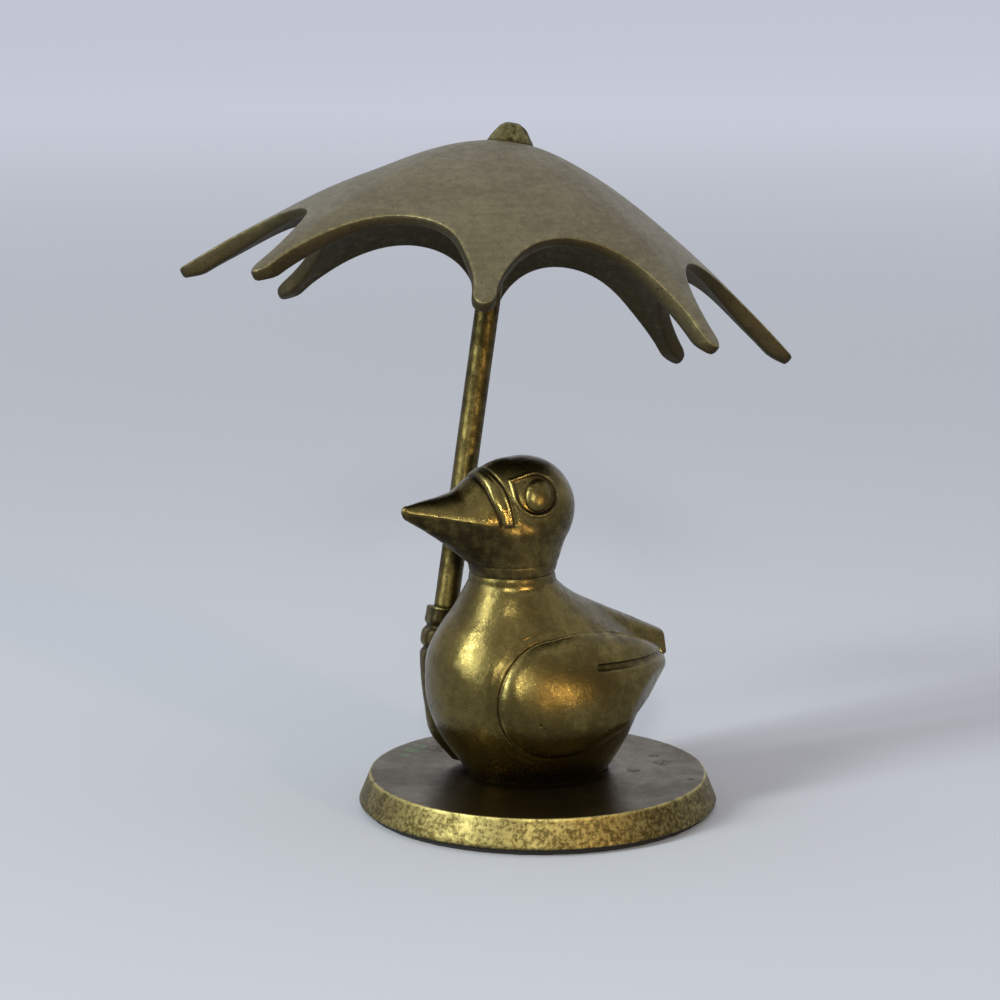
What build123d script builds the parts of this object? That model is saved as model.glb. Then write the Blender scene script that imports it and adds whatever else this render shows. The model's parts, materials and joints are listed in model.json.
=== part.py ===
from build123d import *
from math import cos, radians, sin, sqrt, tan
import os

# A brass duck that holds up an umbrella, on a round turned base with a felt pad.
# The origin is the centre of the pad's underside. The duck faces -Y, and its left is +X.

# Base: a turned disc with a flared side, and the felt pad glued under it
base_bottom_radius = 36.5
base_top_radius = 34.4
base_height = 5.8
base_edge_round = 0.35
pad_radius = 35.3
pad_thickness = 1.3

# Screw from below: it pulls the duck down on the base
screw_diameter = 4.0
screw_length = 12.0
screw_head_diameter = 7.0
screw_head_height = 2.2
screw_slot_width = 1.1
screw_slot_depth = 1.0
screw_end_chamfer = 0.5
washer_diameter = 8.0
washer_thickness = 0.8
screw_clearance = 0.2
tapped_clearance = 0.05
recess_clearance = 0.6
tapped_spare_depth = 1.5

# Body: heights run from the base's top to the neck, reaches from the base's centre
body_height = 41.4
breast_reach = 23.4
rump_reach = 22.5
body_half_width = 20.0
# Each row: height, reach to the front, reach to the back, half width
body_section_shares = (
    (0.000, 0.610, 0.680, 0.520),
    (0.080, 0.710, 0.740, 0.680),
    (0.200, 0.865, 0.850, 0.865),
    (0.350, 0.975, 0.955, 0.975),
    (0.500, 1.005, 1.000, 1.000),
    (0.635, 0.995, 0.900, 0.880),
    (0.755, 0.895, 0.640, 0.680),
    (0.850, 0.765, 0.380, 0.545),
    (0.930, 0.685, 0.200, 0.460),
)
neck_radius = 8.6
neck_forward = 6.0
neck_step = 0.4

# Head: a ball over a throat that widens upwards from the neck
head_radius = 10.4
head_forward = 3.5
head_above_neck = 13.8
throat_radius_share = 0.965
throat_below_ball_share = 0.25
chin_height = 7.3
# Each row: height up the chin, way forward, half width and half length of the neck
chin_section_shares = (
    (0.00, 1.00, 1.00, 1.00),
    (0.32, 1.03, 1.00, 1.06),
    (0.66, 1.13, 0.99, 1.17),
    (1.00, 1.33, 0.93, 1.33),
)

# Beak: sections of two arcs that meet in an edge along each side
beak_reach = 30.6
beak_root_half_width = 8.8
beak_root_rise = 12.6
beak_root_drop = 9.4
beak_edge_rise = 1.4
# Each row: way to the tip, edge height, half width, rise above the edge, drop below it
beak_section_shares = (
    (0.00, -1.90, 1.00, 1.00, 0.95),
    (0.18, -1.90, 0.98, 1.00, 1.00),
    (0.42, -1.00, 0.93, 0.69, 0.98),
    (0.57, -0.50, 0.77, 0.43, 0.76),
    (0.68, -0.10, 0.56, 0.30, 0.56),
    (0.86, 0.60, 0.30, 0.15, 0.29),
    (1.00, 1.00, 0.09, 0.05, 0.09),
)

# Two raised bands over the beak's root
band_rise = 0.5
band_width = 1.4
band_reaches = (12.4, 10.0)
band_lean = 14.0
band_foot_below_ball = 2.3

# Eye: a low dome in a ring groove, on each side of the ball
eye_azimuth = 78.0
eye_elevation = 21.0
eye_dome_radius = 4.2
eye_rise = 1.1
eye_ring_radius = 3.6
eye_ring_groove = 0.5

# Tail: a wedge with a blunt end, from inside the body
tail_reach = 28.6
tail_root_reach = 3.0
tail_root_top_half_width = 6.0
tail_root_bottom_half_width = 16.0
tail_root_top = 43.6
tail_root_bottom = 26.0
tail_end_top_half_width = 3.0
tail_end_bottom_half_width = 4.2
tail_end_top = 32.4
tail_end_bottom = 27.6
tail_edge_round = 1.2

# Left wing: a leaf-shaped patch of a bulging form, proud of the body
wing_form_half_width = 21.3
wing_form_half_length = 26.6
wing_form_half_height = 19.0
wing_form_back = 0.2
wing_form_height = 23.5
wing_round_radius = 12.3
wing_round_back = -4.8
wing_round_height = 25.2
wing_tip_back = 24.4
wing_tip_top = 30.2
wing_tip_bottom = 26.8
wing_top_bulge = 2.2
wing_under_bulge = 2.0
feather_groove_back = 4.0
feather_groove_height = 30.9
feather_groove_end_height = 29.7
feather_groove_radius = 1.0
feather_groove_end_radius = 0.6
feather_groove_depth = 0.9

# Right wing: raised beside the breast, with its feather tips closed on the rod's foot
grip_side = 17.2
grip_back = -12.2
grip_height = 37.5
grip_half_thickness = 3.3
grip_half_length = 4.1
raised_wing_half_thickness = 6.3
raised_wing_half_length = 13.1
raised_wing_bottom = 7.0
# Each row: height up to the grip, side of the grip, back from the grip, half thickness, half length
raised_wing_section_shares = (
    (0.00, 0.70, 0.34, 0.46, 0.44),
    (0.16, 0.76, 0.52, 0.86, 0.86),
    (0.38, 0.84, 0.58, 1.00, 1.00),
    (0.60, 0.95, 0.44, 0.80, 0.86),
    (0.80, 0.99, 0.08, 0.56, 0.48),
)
feather_notch_radius = 1.6
feather_notch_depth = 0.6
feather_notch_pitch = 4.4
feather_notch_count = 2

# Umbrella rod: a plain bar with a turned-down stud at each end
rod_diameter = 5.0
rod_length = 91.5
stud_diameter = 4.0
foot_stud_length = 6.4
top_stud_length = 8.4
stud_end_chamfer = 0.4
stud_clearance = 0.05
socket_spare_depth = 1.2
rod_lean_right_share = 0.0866
rod_lean_back_share = 0.205

# Canopy: an eight-sided dome whose ridges run out into fingers between elliptical arches
arm_count = 8
first_arm_azimuth = 61.4
arm_reach = 64.0
arm_end_radius = 3.3
shell_wall = 2.2
crown_radius = 5.0
dome_steepness_share = 0.88
dome_crown_radius = 30.0
panel_share = 0.97
arch_top_reach = 43.2
hub_radius = 4.6
hub_height = 2.6
dome_ring_shares = (0.16, 0.34, 0.52, 0.70, 0.86, 1.03)

# Finial: a rough cast cap nut on the rod's top stud
finial_radius = 4.8
finial_height = 4.2
finial_shoulder_share = 0.55
finial_shoulder_radius_share = 0.855
finial_crown_share = 0.42

overrun = 2.0

base_top = pad_thickness + base_height
neck_height = base_top + body_height
head_height = neck_height + head_above_neck
screw_recess_radius = washer_diameter / 2 + recess_clearance
screw_recess_depth = screw_head_height + washer_thickness
tapped_depth = screw_length - (base_height - screw_recess_depth) - washer_thickness + tapped_spare_depth
grip_top = pad_thickness + grip_height
half_sector = radians(180 / arm_count)
arch_half_width = arm_reach * tan(half_sector) - arm_end_radius / cos(half_sector)

lean = Vector(-rod_lean_right_share, rod_lean_back_share, 1).normalized()
arm_heading = Vector(sin(radians(first_arm_azimuth)), -cos(radians(first_arm_azimuth)), 0)
arm_across = (arm_heading - lean * arm_heading.dot(lean)).normalized()
rod_foot = Plane(origin=(-grip_side, grip_back, grip_top), x_dir=arm_across, z_dir=lean)


upright = (Align.CENTER, Align.CENTER, Align.MIN)
hanging = (Align.CENTER, Align.CENTER, Align.MAX)


def at(x, y, z):
    return Pos(x, y, z)


def base_disc():
    profile = Polyline(
        (0, pad_thickness),
        (base_bottom_radius, pad_thickness),
        (base_top_radius, base_top),
        (0, base_top),
        close=True,
    )
    disc = revolve(Plane.XZ * make_face(profile), Axis.Z)
    rims = disc.edges().filter_by(GeomType.CIRCLE).group_by(Axis.Z)
    disc = fillet(rims[-1] + rims[0], base_edge_round)
    recess = at(0, 0, pad_thickness) * Cylinder(screw_recess_radius, screw_recess_depth, align=upright)
    hole = Cylinder(screw_diameter / 2 + screw_clearance, base_top, align=upright)
    return disc - recess - hole


def felt_pad():
    return Cylinder(pad_radius, pad_thickness, align=upright)


def base_washer():
    seat = pad_thickness + screw_head_height
    ring = Circle(washer_diameter / 2) - Circle(screw_diameter / 2 + screw_clearance)
    return at(0, 0, seat) * extrude(ring, washer_thickness)


def base_screw():
    half = screw_diameter / 2
    seat = pad_thickness + screw_head_height
    tip = seat + screw_length
    profile = Polyline(
        (0, pad_thickness),
        (screw_head_diameter / 2, pad_thickness),
        (screw_head_diameter / 2, seat),
        (half, seat),
        (half, tip - screw_end_chamfer),
        (half - screw_end_chamfer, tip),
        (0, tip),
        close=True,
    )
    slot = at(0, 0, pad_thickness) * Box(
        screw_head_diameter + overrun,
        screw_slot_width,
        screw_slot_depth,
        align=upright,
    )
    return revolve(Plane.XZ * make_face(profile), Axis.Z) - slot


def oval(x, y, z, half_x, half_y):
    return at(x, y, z) * Ellipse(half_x, half_y)


def body_form():
    sections = []
    for height_share, front_share, back_share, width_share in body_section_shares:
        front = -breast_reach * front_share
        back = rump_reach * back_share
        height = base_top + body_height * height_share
        half_width = body_half_width * width_share
        sections.append(oval(0, (front + back) / 2, height, half_width, (back - front) / 2))
    shoulder = neck_radius + neck_step
    sections.append(oval(0, -neck_forward, neck_height, shoulder, shoulder))
    return loft(sections)


def beak_form(grow):
    edge_root = head_height
    sections = []
    for way_share, edge_share, width_share, rise_share, drop_share in beak_section_shares:
        reach = head_forward + (beak_reach - head_forward) * way_share
        edge = edge_root + beak_edge_rise * edge_share
        half = beak_root_half_width * width_share + grow
        top = edge + beak_root_rise * rise_share + grow
        under = edge - beak_root_drop * drop_share - grow
        upper = ThreePointArc((-half, -reach, edge), (0, -reach, top), (half, -reach, edge))
        lower = ThreePointArc((half, -reach, edge), (0, -reach, under), (-half, -reach, edge))
        sections.append(make_face([upper, lower]))
    return loft(sections)


def chin_form():
    sections = []
    for height_share, forward_share, width_share, length_share in chin_section_shares:
        forward = neck_forward * forward_share
        height = neck_height + chin_height * height_share
        sections.append(oval(0, -forward, height, neck_radius * width_share, neck_radius * length_share))
    return loft(sections)


def head_form(grow):
    ball = at(0, -head_forward, head_height) * Sphere(head_radius + grow)
    throat_height = head_height - head_radius * throat_below_ball_share
    throat_radius = head_radius * throat_radius_share
    throat = loft(
        [
            oval(0, -neck_forward, neck_height, neck_radius + grow, neck_radius + grow),
            oval(0, -head_forward, throat_height, throat_radius + grow, throat_radius + grow),
        ]
    )
    return ball + throat + beak_form(grow)


def bands():
    proud = head_form(band_rise)
    foot = head_height - band_foot_below_ball
    rise = head_radius + band_foot_below_ball + overrun
    slabs = []
    for reach in band_reaches:
        slab = Box(beak_reach, band_width, rise, align=upright)
        slabs.append(at(0, -reach, foot) * Rot(band_lean, 0, 0) * slab)
    return proud & Compound(slabs)


def eye_plane(side):
    azimuth, elevation = radians(eye_azimuth), radians(eye_elevation)
    out = Vector(side * sin(azimuth) * cos(elevation), -cos(azimuth) * cos(elevation), sin(elevation))
    centre = Vector(0, -head_forward, head_height)
    return Plane(origin=centre + out * head_radius, z_dir=out)


def eye_ring():
    inner = eye_ring_radius - eye_ring_groove
    outer = eye_ring_radius + eye_ring_groove
    groove = Polyline(
        (inner, overrun),
        (inner, 0),
        (eye_ring_radius, -eye_ring_groove),
        (outer, 0),
        (outer, overrun),
        close=True,
    )
    return revolve(Plane.XZ * make_face(groove), Axis.Z)


def tail_section(reach, half_bottom, half_top, bottom, top):
    facing = Plane(origin=(0, reach, pad_thickness), x_dir=(-1, 0, 0), z_dir=(0, 1, 0))
    corners = ((-half_bottom, bottom), (half_bottom, bottom), (half_top, top), (-half_top, top))
    wedge = make_face(Polyline(*corners, close=True))
    return facing * fillet(wedge.vertices(), tail_edge_round)


def tail_form():
    root = tail_section(
        tail_root_reach,
        tail_root_bottom_half_width,
        tail_root_top_half_width,
        tail_root_bottom,
        tail_root_top,
    )
    end = tail_section(
        tail_reach,
        tail_end_bottom_half_width,
        tail_end_top_half_width,
        tail_end_bottom,
        tail_end_top,
    )
    return loft([root, end], ruled=True)


def wing_form(inset):
    halves = (wing_form_half_width - inset, wing_form_half_length - inset, wing_form_half_height - inset)
    return at(0, wing_form_back, pad_thickness + wing_form_height) * scale(Sphere(1), by=halves)


def left_wing():
    side = Plane(origin=(0, 0, pad_thickness), x_dir=(0, 1, 0), z_dir=(1, 0, 0))
    front = wing_round_back - wing_round_radius
    crown = (wing_round_back, wing_round_height + wing_round_radius)
    keel = (wing_round_back, wing_round_height - wing_round_radius)
    tip_top = (wing_tip_back, wing_tip_top)
    tip_bottom = (wing_tip_back, wing_tip_bottom)
    top_middle = ((crown[0] + tip_top[0]) / 2, (crown[1] + tip_top[1]) / 2 + wing_top_bulge)
    under_middle = ((keel[0] + tip_bottom[0]) / 2, (keel[1] + tip_bottom[1]) / 2 - wing_under_bulge)
    outline = [
        ThreePointArc(keel, (front, wing_round_height), crown),
        ThreePointArc(crown, top_middle, tip_top),
        Line(tip_top, tip_bottom),
        ThreePointArc(tip_bottom, under_middle, keel),
    ]
    return extrude(side * make_face(outline), wing_form_half_width + overrun) & wing_form(0)


def feather_groove():
    side = Plane(origin=(0, 0, pad_thickness), x_dir=(0, 1, 0), z_dir=(1, 0, 0))
    round_end = Pos(feather_groove_back, feather_groove_height) * Circle(feather_groove_radius)
    run = Polyline(
        (feather_groove_back, feather_groove_height + feather_groove_radius),
        (wing_tip_back + overrun, feather_groove_end_height + feather_groove_end_radius),
        (wing_tip_back + overrun, feather_groove_end_height - feather_groove_end_radius),
        (feather_groove_back, feather_groove_height - feather_groove_radius),
        close=True,
    )
    outline = extrude(side * (make_face(run) + round_end), wing_form_half_width + overrun)
    return outline - wing_form(feather_groove_depth)


def raised_wing():
    rise = grip_height - raised_wing_bottom
    sections = []
    for height_share, side_share, back_share, thickness_share, length_share in raised_wing_section_shares:
        height = pad_thickness + raised_wing_bottom + rise * height_share
        back = grip_back * (1 - back_share)
        half_x = raised_wing_half_thickness * thickness_share
        half_y = raised_wing_half_length * length_share
        sections.append(oval(-grip_side * side_share, back, height, half_x, half_y))
    sections.append(oval(-grip_side, grip_back, grip_top + overrun, grip_half_thickness, grip_half_length))
    wing = loft(sections)
    above = rod_foot * Box(
        raised_wing_half_length * 2,
        raised_wing_half_length * 2,
        raised_wing_half_length,
        align=upright,
    )
    wing -= above
    upper_share, _, back_share, _, length_share = raised_wing_section_shares[-1]
    upper_front = grip_back * (1 - back_share) - raised_wing_half_length * length_share
    upper_drop = rise * (1 - upper_share)
    grip_front = grip_back - grip_half_length
    for number in range(feather_notch_count):
        drop = feather_notch_pitch * (number + 1)
        front = grip_front + (upper_front - grip_front) * drop / upper_drop
        front -= feather_notch_radius - feather_notch_depth
        notch = at(-grip_side, front, grip_top - drop) * Rot(0, 90, 0) * Cylinder(
            feather_notch_radius, raised_wing_half_thickness * 2
        )
        wing -= notch
    return wing


def duck_body():
    duck = body_form() + head_form(0) + chin_form() + tail_form() + left_wing() + raised_wing() + bands()
    ring_depth = head_radius - sqrt(head_radius * head_radius - eye_ring_radius * eye_ring_radius)
    for side in (1, -1):
        socket = eye_plane(side)
        duck -= socket * at(0, 0, -ring_depth) * eye_ring()
        duck += socket * at(0, 0, eye_rise - eye_dome_radius) * Sphere(eye_dome_radius)
    duck -= feather_groove()
    socket_depth = foot_stud_length + socket_spare_depth
    duck -= rod_foot * Cylinder(stud_diameter / 2 + stud_clearance, socket_depth, align=hanging)
    duck -= at(0, 0, base_top) * Cylinder(screw_diameter / 2 + tapped_clearance, tapped_depth, align=upright)
    return duck


def umbrella_rod():
    half = rod_diameter / 2
    stud = stud_diameter / 2
    top = rod_length + top_stud_length
    profile = Polyline(
        (0, -foot_stud_length),
        (stud - stud_end_chamfer, -foot_stud_length),
        (stud, stud_end_chamfer - foot_stud_length),
        (stud, 0),
        (half, 0),
        (half, rod_length),
        (stud, rod_length),
        (stud, top - stud_end_chamfer),
        (stud - stud_end_chamfer, top),
        (0, top),
        close=True,
    )
    return rod_foot * revolve(Plane.XZ * make_face(profile), Axis.Z)


def dome_drop(reach):
    slant = sqrt(reach * reach + dome_crown_radius * dome_crown_radius)
    return dome_steepness_share * (slant - dome_crown_radius)


def dome_slope(reach):
    return dome_steepness_share * reach / sqrt(reach * reach + dome_crown_radius * dome_crown_radius)


def dome_section(ridge, height):
    step = 360 / arm_count
    sides = []
    for number in range(arm_count):
        start = radians(number * step)
        middle = radians((number + 0.5) * step)
        end = radians((number + 1) * step)
        flat = ridge * panel_share
        sides.append(
            ThreePointArc(
                (ridge * cos(start), ridge * sin(start), height),
                (flat * cos(middle), flat * sin(middle), height),
                (ridge * cos(end), ridge * sin(end), height),
            )
        )
    return make_face(sides)


def dome(top, wall):
    sections = [dome_section(crown_radius, top - wall)]
    for share in dome_ring_shares:
        reach = arm_reach * share
        slope = dome_slope(reach)
        stretch = sqrt(1 + slope * slope)
        drop = dome_drop(reach) - dome_drop(crown_radius)
        sections.append(dome_section(reach - wall * slope / stretch, top - drop - wall / stretch))
    return sections


def canopy_outline():
    end_centre = arm_reach - arm_end_radius
    plan = Circle(end_centre)
    for number in range(arm_count):
        plan += Rot(0, 0, number * 360 / arm_count) * Pos(end_centre, 0) * Circle(arm_end_radius)
    return plan


def arch_cutter(top):
    ridge = arch_top_reach / panel_share
    slope = dome_slope(ridge)
    height = top - dome_drop(ridge) + dome_drop(crown_radius)
    depth = (arm_reach + arm_end_radius - arch_top_reach) * sqrt(1 + slope * slope)
    arch_top = Vector(arch_top_reach, 0, height)
    square_to_shell = Plane(origin=arch_top, x_dir=(1, 0, -slope), z_dir=(slope, 0, 1))
    below_shell = square_to_shell.offset(-depth / 2)
    opening = below_shell * Pos(depth, 0) * Ellipse(depth, arch_half_width)
    return extrude(opening, depth)


def umbrella_canopy():
    top = rod_length + hub_height + shell_wall
    outer = loft(dome(top, 0))
    inner = loft(dome(top, shell_wall))
    depth = dome_drop(arm_reach) + shell_wall + overrun
    plan = at(0, 0, top - depth) * extrude(canopy_outline(), depth + overrun)
    shell = (outer - inner) & plan
    cutter = arch_cutter(top)
    for number in range(arm_count):
        shell -= Rot(0, 0, (number + 0.5) * 360 / arm_count) * cutter
    hub = at(0, 0, rod_length) * Cylinder(hub_radius, hub_height + shell_wall / 2, align=upright)
    hole = at(0, 0, rod_length) * Cylinder(stud_diameter / 2 + stud_clearance, top_stud_length, align=upright)
    return rod_foot * (shell + hub - hole)


def finial():
    seat = rod_length + hub_height + shell_wall
    shoulder = seat + finial_height * finial_shoulder_share
    crown = finial_radius * finial_crown_share
    rim = Line((0, seat), (finial_radius, seat))
    side = ThreePointArc(
        (finial_radius, seat),
        (finial_radius * finial_shoulder_radius_share, shoulder),
        (crown, seat + finial_height),
    )
    top = Line((crown, seat + finial_height), (0, seat + finial_height))
    axis = Line((0, seat + finial_height), (0, seat))
    cap = revolve(Plane.XZ * make_face([rim, side, top, axis]), Axis.Z)
    stud_in_cap = top_stud_length - hub_height - shell_wall
    hole = at(0, 0, seat) * Cylinder(
        stud_diameter / 2 + stud_clearance, stud_in_cap + stud_clearance, align=upright
    )
    return rod_foot * (cap - hole)


os.makedirs("parts", exist_ok=True)
pieces = {
    "base_disc": base_disc,
    "felt_pad": felt_pad,
    "base_washer": base_washer,
    "base_screw": base_screw,
    "duck_body": duck_body,
    "umbrella_rod": umbrella_rod,
    "umbrella_canopy": umbrella_canopy,
    "finial": finial,
}
for name, make in pieces.items():
    export_step(make(), f"parts/{name}.step")
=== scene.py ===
"""A cast brass duck on a round base, with an umbrella in its raised wing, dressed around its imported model."""

import json

import bpy
import numpy as np
from bpy.props import FloatProperty, FloatVectorProperty, PointerProperty
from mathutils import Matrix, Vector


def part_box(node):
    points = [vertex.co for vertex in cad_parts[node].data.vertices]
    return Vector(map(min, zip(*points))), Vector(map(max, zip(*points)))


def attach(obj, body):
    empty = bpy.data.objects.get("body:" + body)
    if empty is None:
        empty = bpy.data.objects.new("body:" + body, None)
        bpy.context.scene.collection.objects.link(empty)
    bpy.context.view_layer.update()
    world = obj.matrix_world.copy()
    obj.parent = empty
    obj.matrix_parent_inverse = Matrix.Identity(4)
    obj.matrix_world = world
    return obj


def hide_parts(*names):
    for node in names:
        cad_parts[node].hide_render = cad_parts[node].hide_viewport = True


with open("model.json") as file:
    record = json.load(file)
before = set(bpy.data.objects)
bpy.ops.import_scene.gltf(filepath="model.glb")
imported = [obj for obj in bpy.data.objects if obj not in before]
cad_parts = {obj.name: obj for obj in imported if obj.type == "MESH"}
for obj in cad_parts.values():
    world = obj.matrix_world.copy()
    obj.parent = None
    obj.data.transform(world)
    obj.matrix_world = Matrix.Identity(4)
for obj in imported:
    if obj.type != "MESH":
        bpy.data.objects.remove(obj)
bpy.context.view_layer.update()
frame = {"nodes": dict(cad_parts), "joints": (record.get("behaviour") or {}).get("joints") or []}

bl_info = {
    "name": "Brass duck with umbrella",
    "version": (1, 0, 0),
    "blender": (4, 5, 0),
    "location": "View3D > Sidebar > Brass duck",
    "description": "Makes the surfaces, finishes and stage of a cast brass duck that holds an umbrella",
    "category": "Add Mesh",
}

# Lengths in this file are in millimetres, and each mesh is scaled to metres as it is made.
MM = 0.001
TURN = 2 * np.pi
LONGEST_STEP = 0.8


def corners(node):
    """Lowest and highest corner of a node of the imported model, in millimetres."""
    low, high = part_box(node)
    return np.array(low) / MM, np.array(high) / MM


BASE_LOW, BASE_HIGH = corners("base_disc")
PAD_LOW, PAD_HIGH = corners("felt_pad")
BASE_TOP = BASE_HIGH[2]

# The umbrella leans backwards and to the duck's right, and one arm of the canopy heads forwards and left.
UMBRELLA = {joint["name"]: joint for joint in frame["joints"]}["umbrella_turn"]
ROD_FOOT = np.array(UMBRELLA["pos_m"]) / MM
LEAN = np.array(UMBRELLA["axis"]) / np.linalg.norm(UMBRELLA["axis"])
FIRST_ARM_AZIMUTH = np.radians(61.4)
FIRST_ARM = np.array([np.sin(FIRST_ARM_AZIMUTH), -np.cos(FIRST_ARM_AZIMUTH), 0])
ARM_ACROSS = FIRST_ARM - LEAN * (FIRST_ARM @ LEAN)
ARM_ACROSS = ARM_ACROSS / np.linalg.norm(ARM_ACROSS)
ARM_ROUND = np.cross(LEAN, ARM_ACROSS)

# Trunk: height above the base, reach forwards, reach backwards, half width
TRUNK = (
    (0.0, 14.3, 15.3, 10.4),
    (3.3, 16.6, 16.7, 13.8),
    (8.3, 20.2, 19.1, 17.3),
    (14.4, 22.8, 21.5, 19.5),
    (20.7, 23.5, 22.5, 20.0),
    (26.3, 23.2, 20.2, 17.7),
    (31.3, 20.9, 14.4, 14.05),
    (35.2, 17.9, 8.6, 11.55),
    (38.5, 16.0, 4.7, 9.7),
    (40.1, 15.15, 3.4, 8.7),
    (40.6, 14.85, 3.0, 8.6),
    (41.4, 14.7, 2.8, 8.6),
    (42.3, 14.6, 2.6, 8.5),
)
TRUNK_ROUNDNESS = 2.1
NECK_CUT = TRUNK[-1][0]
NECK_LINE = 44.5

# Throat: height, reach forwards, reach backwards, half width
THROAT = (
    (42.3, 14.6, 2.6, 8.5),
    (44.2, 15.0, 3.3, 8.7),
    (46.6, 16.0, 4.2, 9.05),
    (49.2, 17.2, 5.2, 9.5),
    (52.2, 17.8, 6.3, 9.9),
    (54.2, 17.8, 6.6, 10.0),
)
# Above this height the throat fades into the ball, and this is how fast
THROAT_TOP = 51.0
THROAT_FADE = 2.2
BALL_RADIUS = 10.4
BALL_FORWARD = 3.5
BALL_HEIGHT = 55.2
BALL_CENTRE = np.array([0, -BALL_FORWARD, BALL_HEIGHT])

# Beak: reach, height of the side edge, half width, rise above the edge, drop below it, roundness of the edge
BEAK = (
    (3.5, 52.3, 8.3, 12.4, 9.0, 2.2),
    (7.8, 52.5, 8.8, 12.9, 9.5, 2.2),
    (12.0, 53.2, 8.6, 10.9, 10.0, 1.75),
    (15.4, 53.8, 8.0, 8.4, 9.2, 1.35),
    (18.8, 54.5, 6.7, 5.3, 7.2, 1.22),
    (21.4, 55.0, 5.2, 4.1, 5.7, 1.2),
    (26.5, 55.9, 2.8, 2.3, 3.1, 1.3),
    (29.2, 56.3, 1.6, 1.35, 1.8, 1.5),
    (30.2, 56.5, 1.2, 0.95, 1.2, 1.7),
    (30.65, 56.6, 0.9, 0.3, 0.4, 1.8),
)
BEAK_ROOT = BEAK[0][0]
BEAK_REACH = BEAK[-1][0]
BEAK_TIP_BLUNTNESS = 34
THROAT_CORNER = (-17.7, NECK_CUT)
# Where the trunk is searched for its front and back, and how far from the throat's corner the head is
TRUNK_SPAN = (-30, 32)
HEAD_SPAN = (0.3, 36)
TESTS = 1500

# Tail: reach where it leaves the trunk and at its end, each with bottom, top, half width below and above
TAIL_ROOT = (3.0, 15.0, 38.8, 15.0, 5.5)
TAIL_END = (28.5, 21.9, 26.8, 4.3, 3.1)
TAIL_ROUND = 0.9
TAIL_SQUARENESS = 7
TAIL_UNDERSIDE = (19.0, 22.4)

# How widely the duck's forms run into each other, as a difference of their squared half widths
TAIL_BLEND = 45.0
THROAT_BLEND = 10.0
BEAK_BLEND = 14.0
# How fast a form's squared half width falls to nothing past its own ends
PAST_TAIL_END = 400
AHEAD_OF_TAIL_ROOT = 30
PAST_BEAK_TIP = 500
BEHIND_BEAK_ROOT = 12

# Left wing, seen from the side: a round front and a blunt tip
WING_CENTRE = (-4.8, 18.9)
WING_RADIUS = 11.8
WING_TIP = (24.3, 24.5, 21.1)
WING_BULGES = (2.8, 3.0)
WING_TIP_BULGE = 0.35
# Sag near the tip end of its lower edge: depth, share of the edge, width as a share
WING_SAG = (0.55, 0.16, 0.13)
# Its face is part of an ellipsoid: half width, half length to the front and the back, half height, and place
WING_FORM = (21.3, 26.8, 28.4, 19.2)
WING_FORM_PLACE = (0.2, 17.6)
# Flat facet under the wing's tip: side, place back, height, slope backwards, slope upwards
WING_FACET = (17.9, 14.9, 19.7, -0.9, 0.42)
WING_FACET_BLEND = 0.7
WING_MIDDLE = (-1.0, 19.6)
# Least and greatest fall of its rim to the body, the rim's least width and how that grows with the fall
WING_FALLS = (0.5, 2.3)
WING_RIM = (0.8, 1.9)
# Share of a quarter oval that the rim turns through, and the radius of the edge below it
WING_RIM_TURN = 0.93
WING_EDGE_ROUND = 0.25
# Inset and depth of the skirt that ends inside the body, and how far out its floor lies at most
WING_SKIRT = (0.6, 4.5)
WING_FLOOR = 9.0
# Straight runs on its face, from place back and height to place back and height
FEATHER_GROOVE = ((3.6, 25.2), (25.2, 24.1))
FEATHER_LINES = (
    ((9.0, 9.4), (19.5, 17.0)),
    ((7.0, 9.3), (19.3, 16.0)),
    ((10.5, 8.7), (18.2, 14.2)),
)
FEATHER_LINE_DEPTH = 0.2
FEATHER_LINE_WIDTH = 0.22

# Raised wing: height, side, forwards, half thickness, half length, squareness of the section
RAISED_WING = (
    (1.2, 11.9, 8.1, 2.7, 5.4, 2.2),
    (6.1, 13.1, 5.9, 5.4, 11.3, 2.2),
    (12.8, 14.4, 5.1, 6.3, 13.1, 2.2),
    (19.5, 16.3, 6.8, 5.0, 11.3, 2.4),
    (25.6, 17.0, 11.2, 3.6, 6.4, 2.8),
    (31.7, 17.2, 12.2, 3.2, 3.6, 3.4),
    (34.0, 17.2, 12.2, 3.2, 3.5, 3.6),
)
FEATHER_TIP_HEIGHTS = (28.1, 24.1)
FEATHER_NOTCH = 0.75
# From this height to its top the raised wing's rings tilt until they lie square to the rod
WRIST_HEIGHT = 24

# Bands over the beak's root: height, forward place of the groove before them and of the groove between them
BANDS = (
    (52.6, 12.4, 10.4),
    (54.1, 12.8, 10.5),
    (56.6, 13.45, 10.75),
    (58.3, 14.0, 11.0),
    (60.7, 14.4, 11.55),
    (62.5, 14.8, 12.3),
    (63.7, 15.1, 12.85),
    (66.0, 15.6, 13.6),
)
BAND_FOOT = 52.9

# Eye: direction of its lid from the head's centre, the lid's pointed corner, and the eyeball within the lid:
# its place ahead of and above the lid's middle, its half width, its half height and its backward tilt
EYE_AZIMUTH = np.radians(79.2)
EYE_ELEVATION = np.radians(24.8)
EYE_LID_RADIUS = 4.25
EYE_CORNER = (4.5, 3.0)
EYE_BALL_PLACE = (-0.3, -0.2)
EYE_BALL_HALVES = (2.9, 3.75)
EYE_BALL_TILT = np.radians(19)

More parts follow.
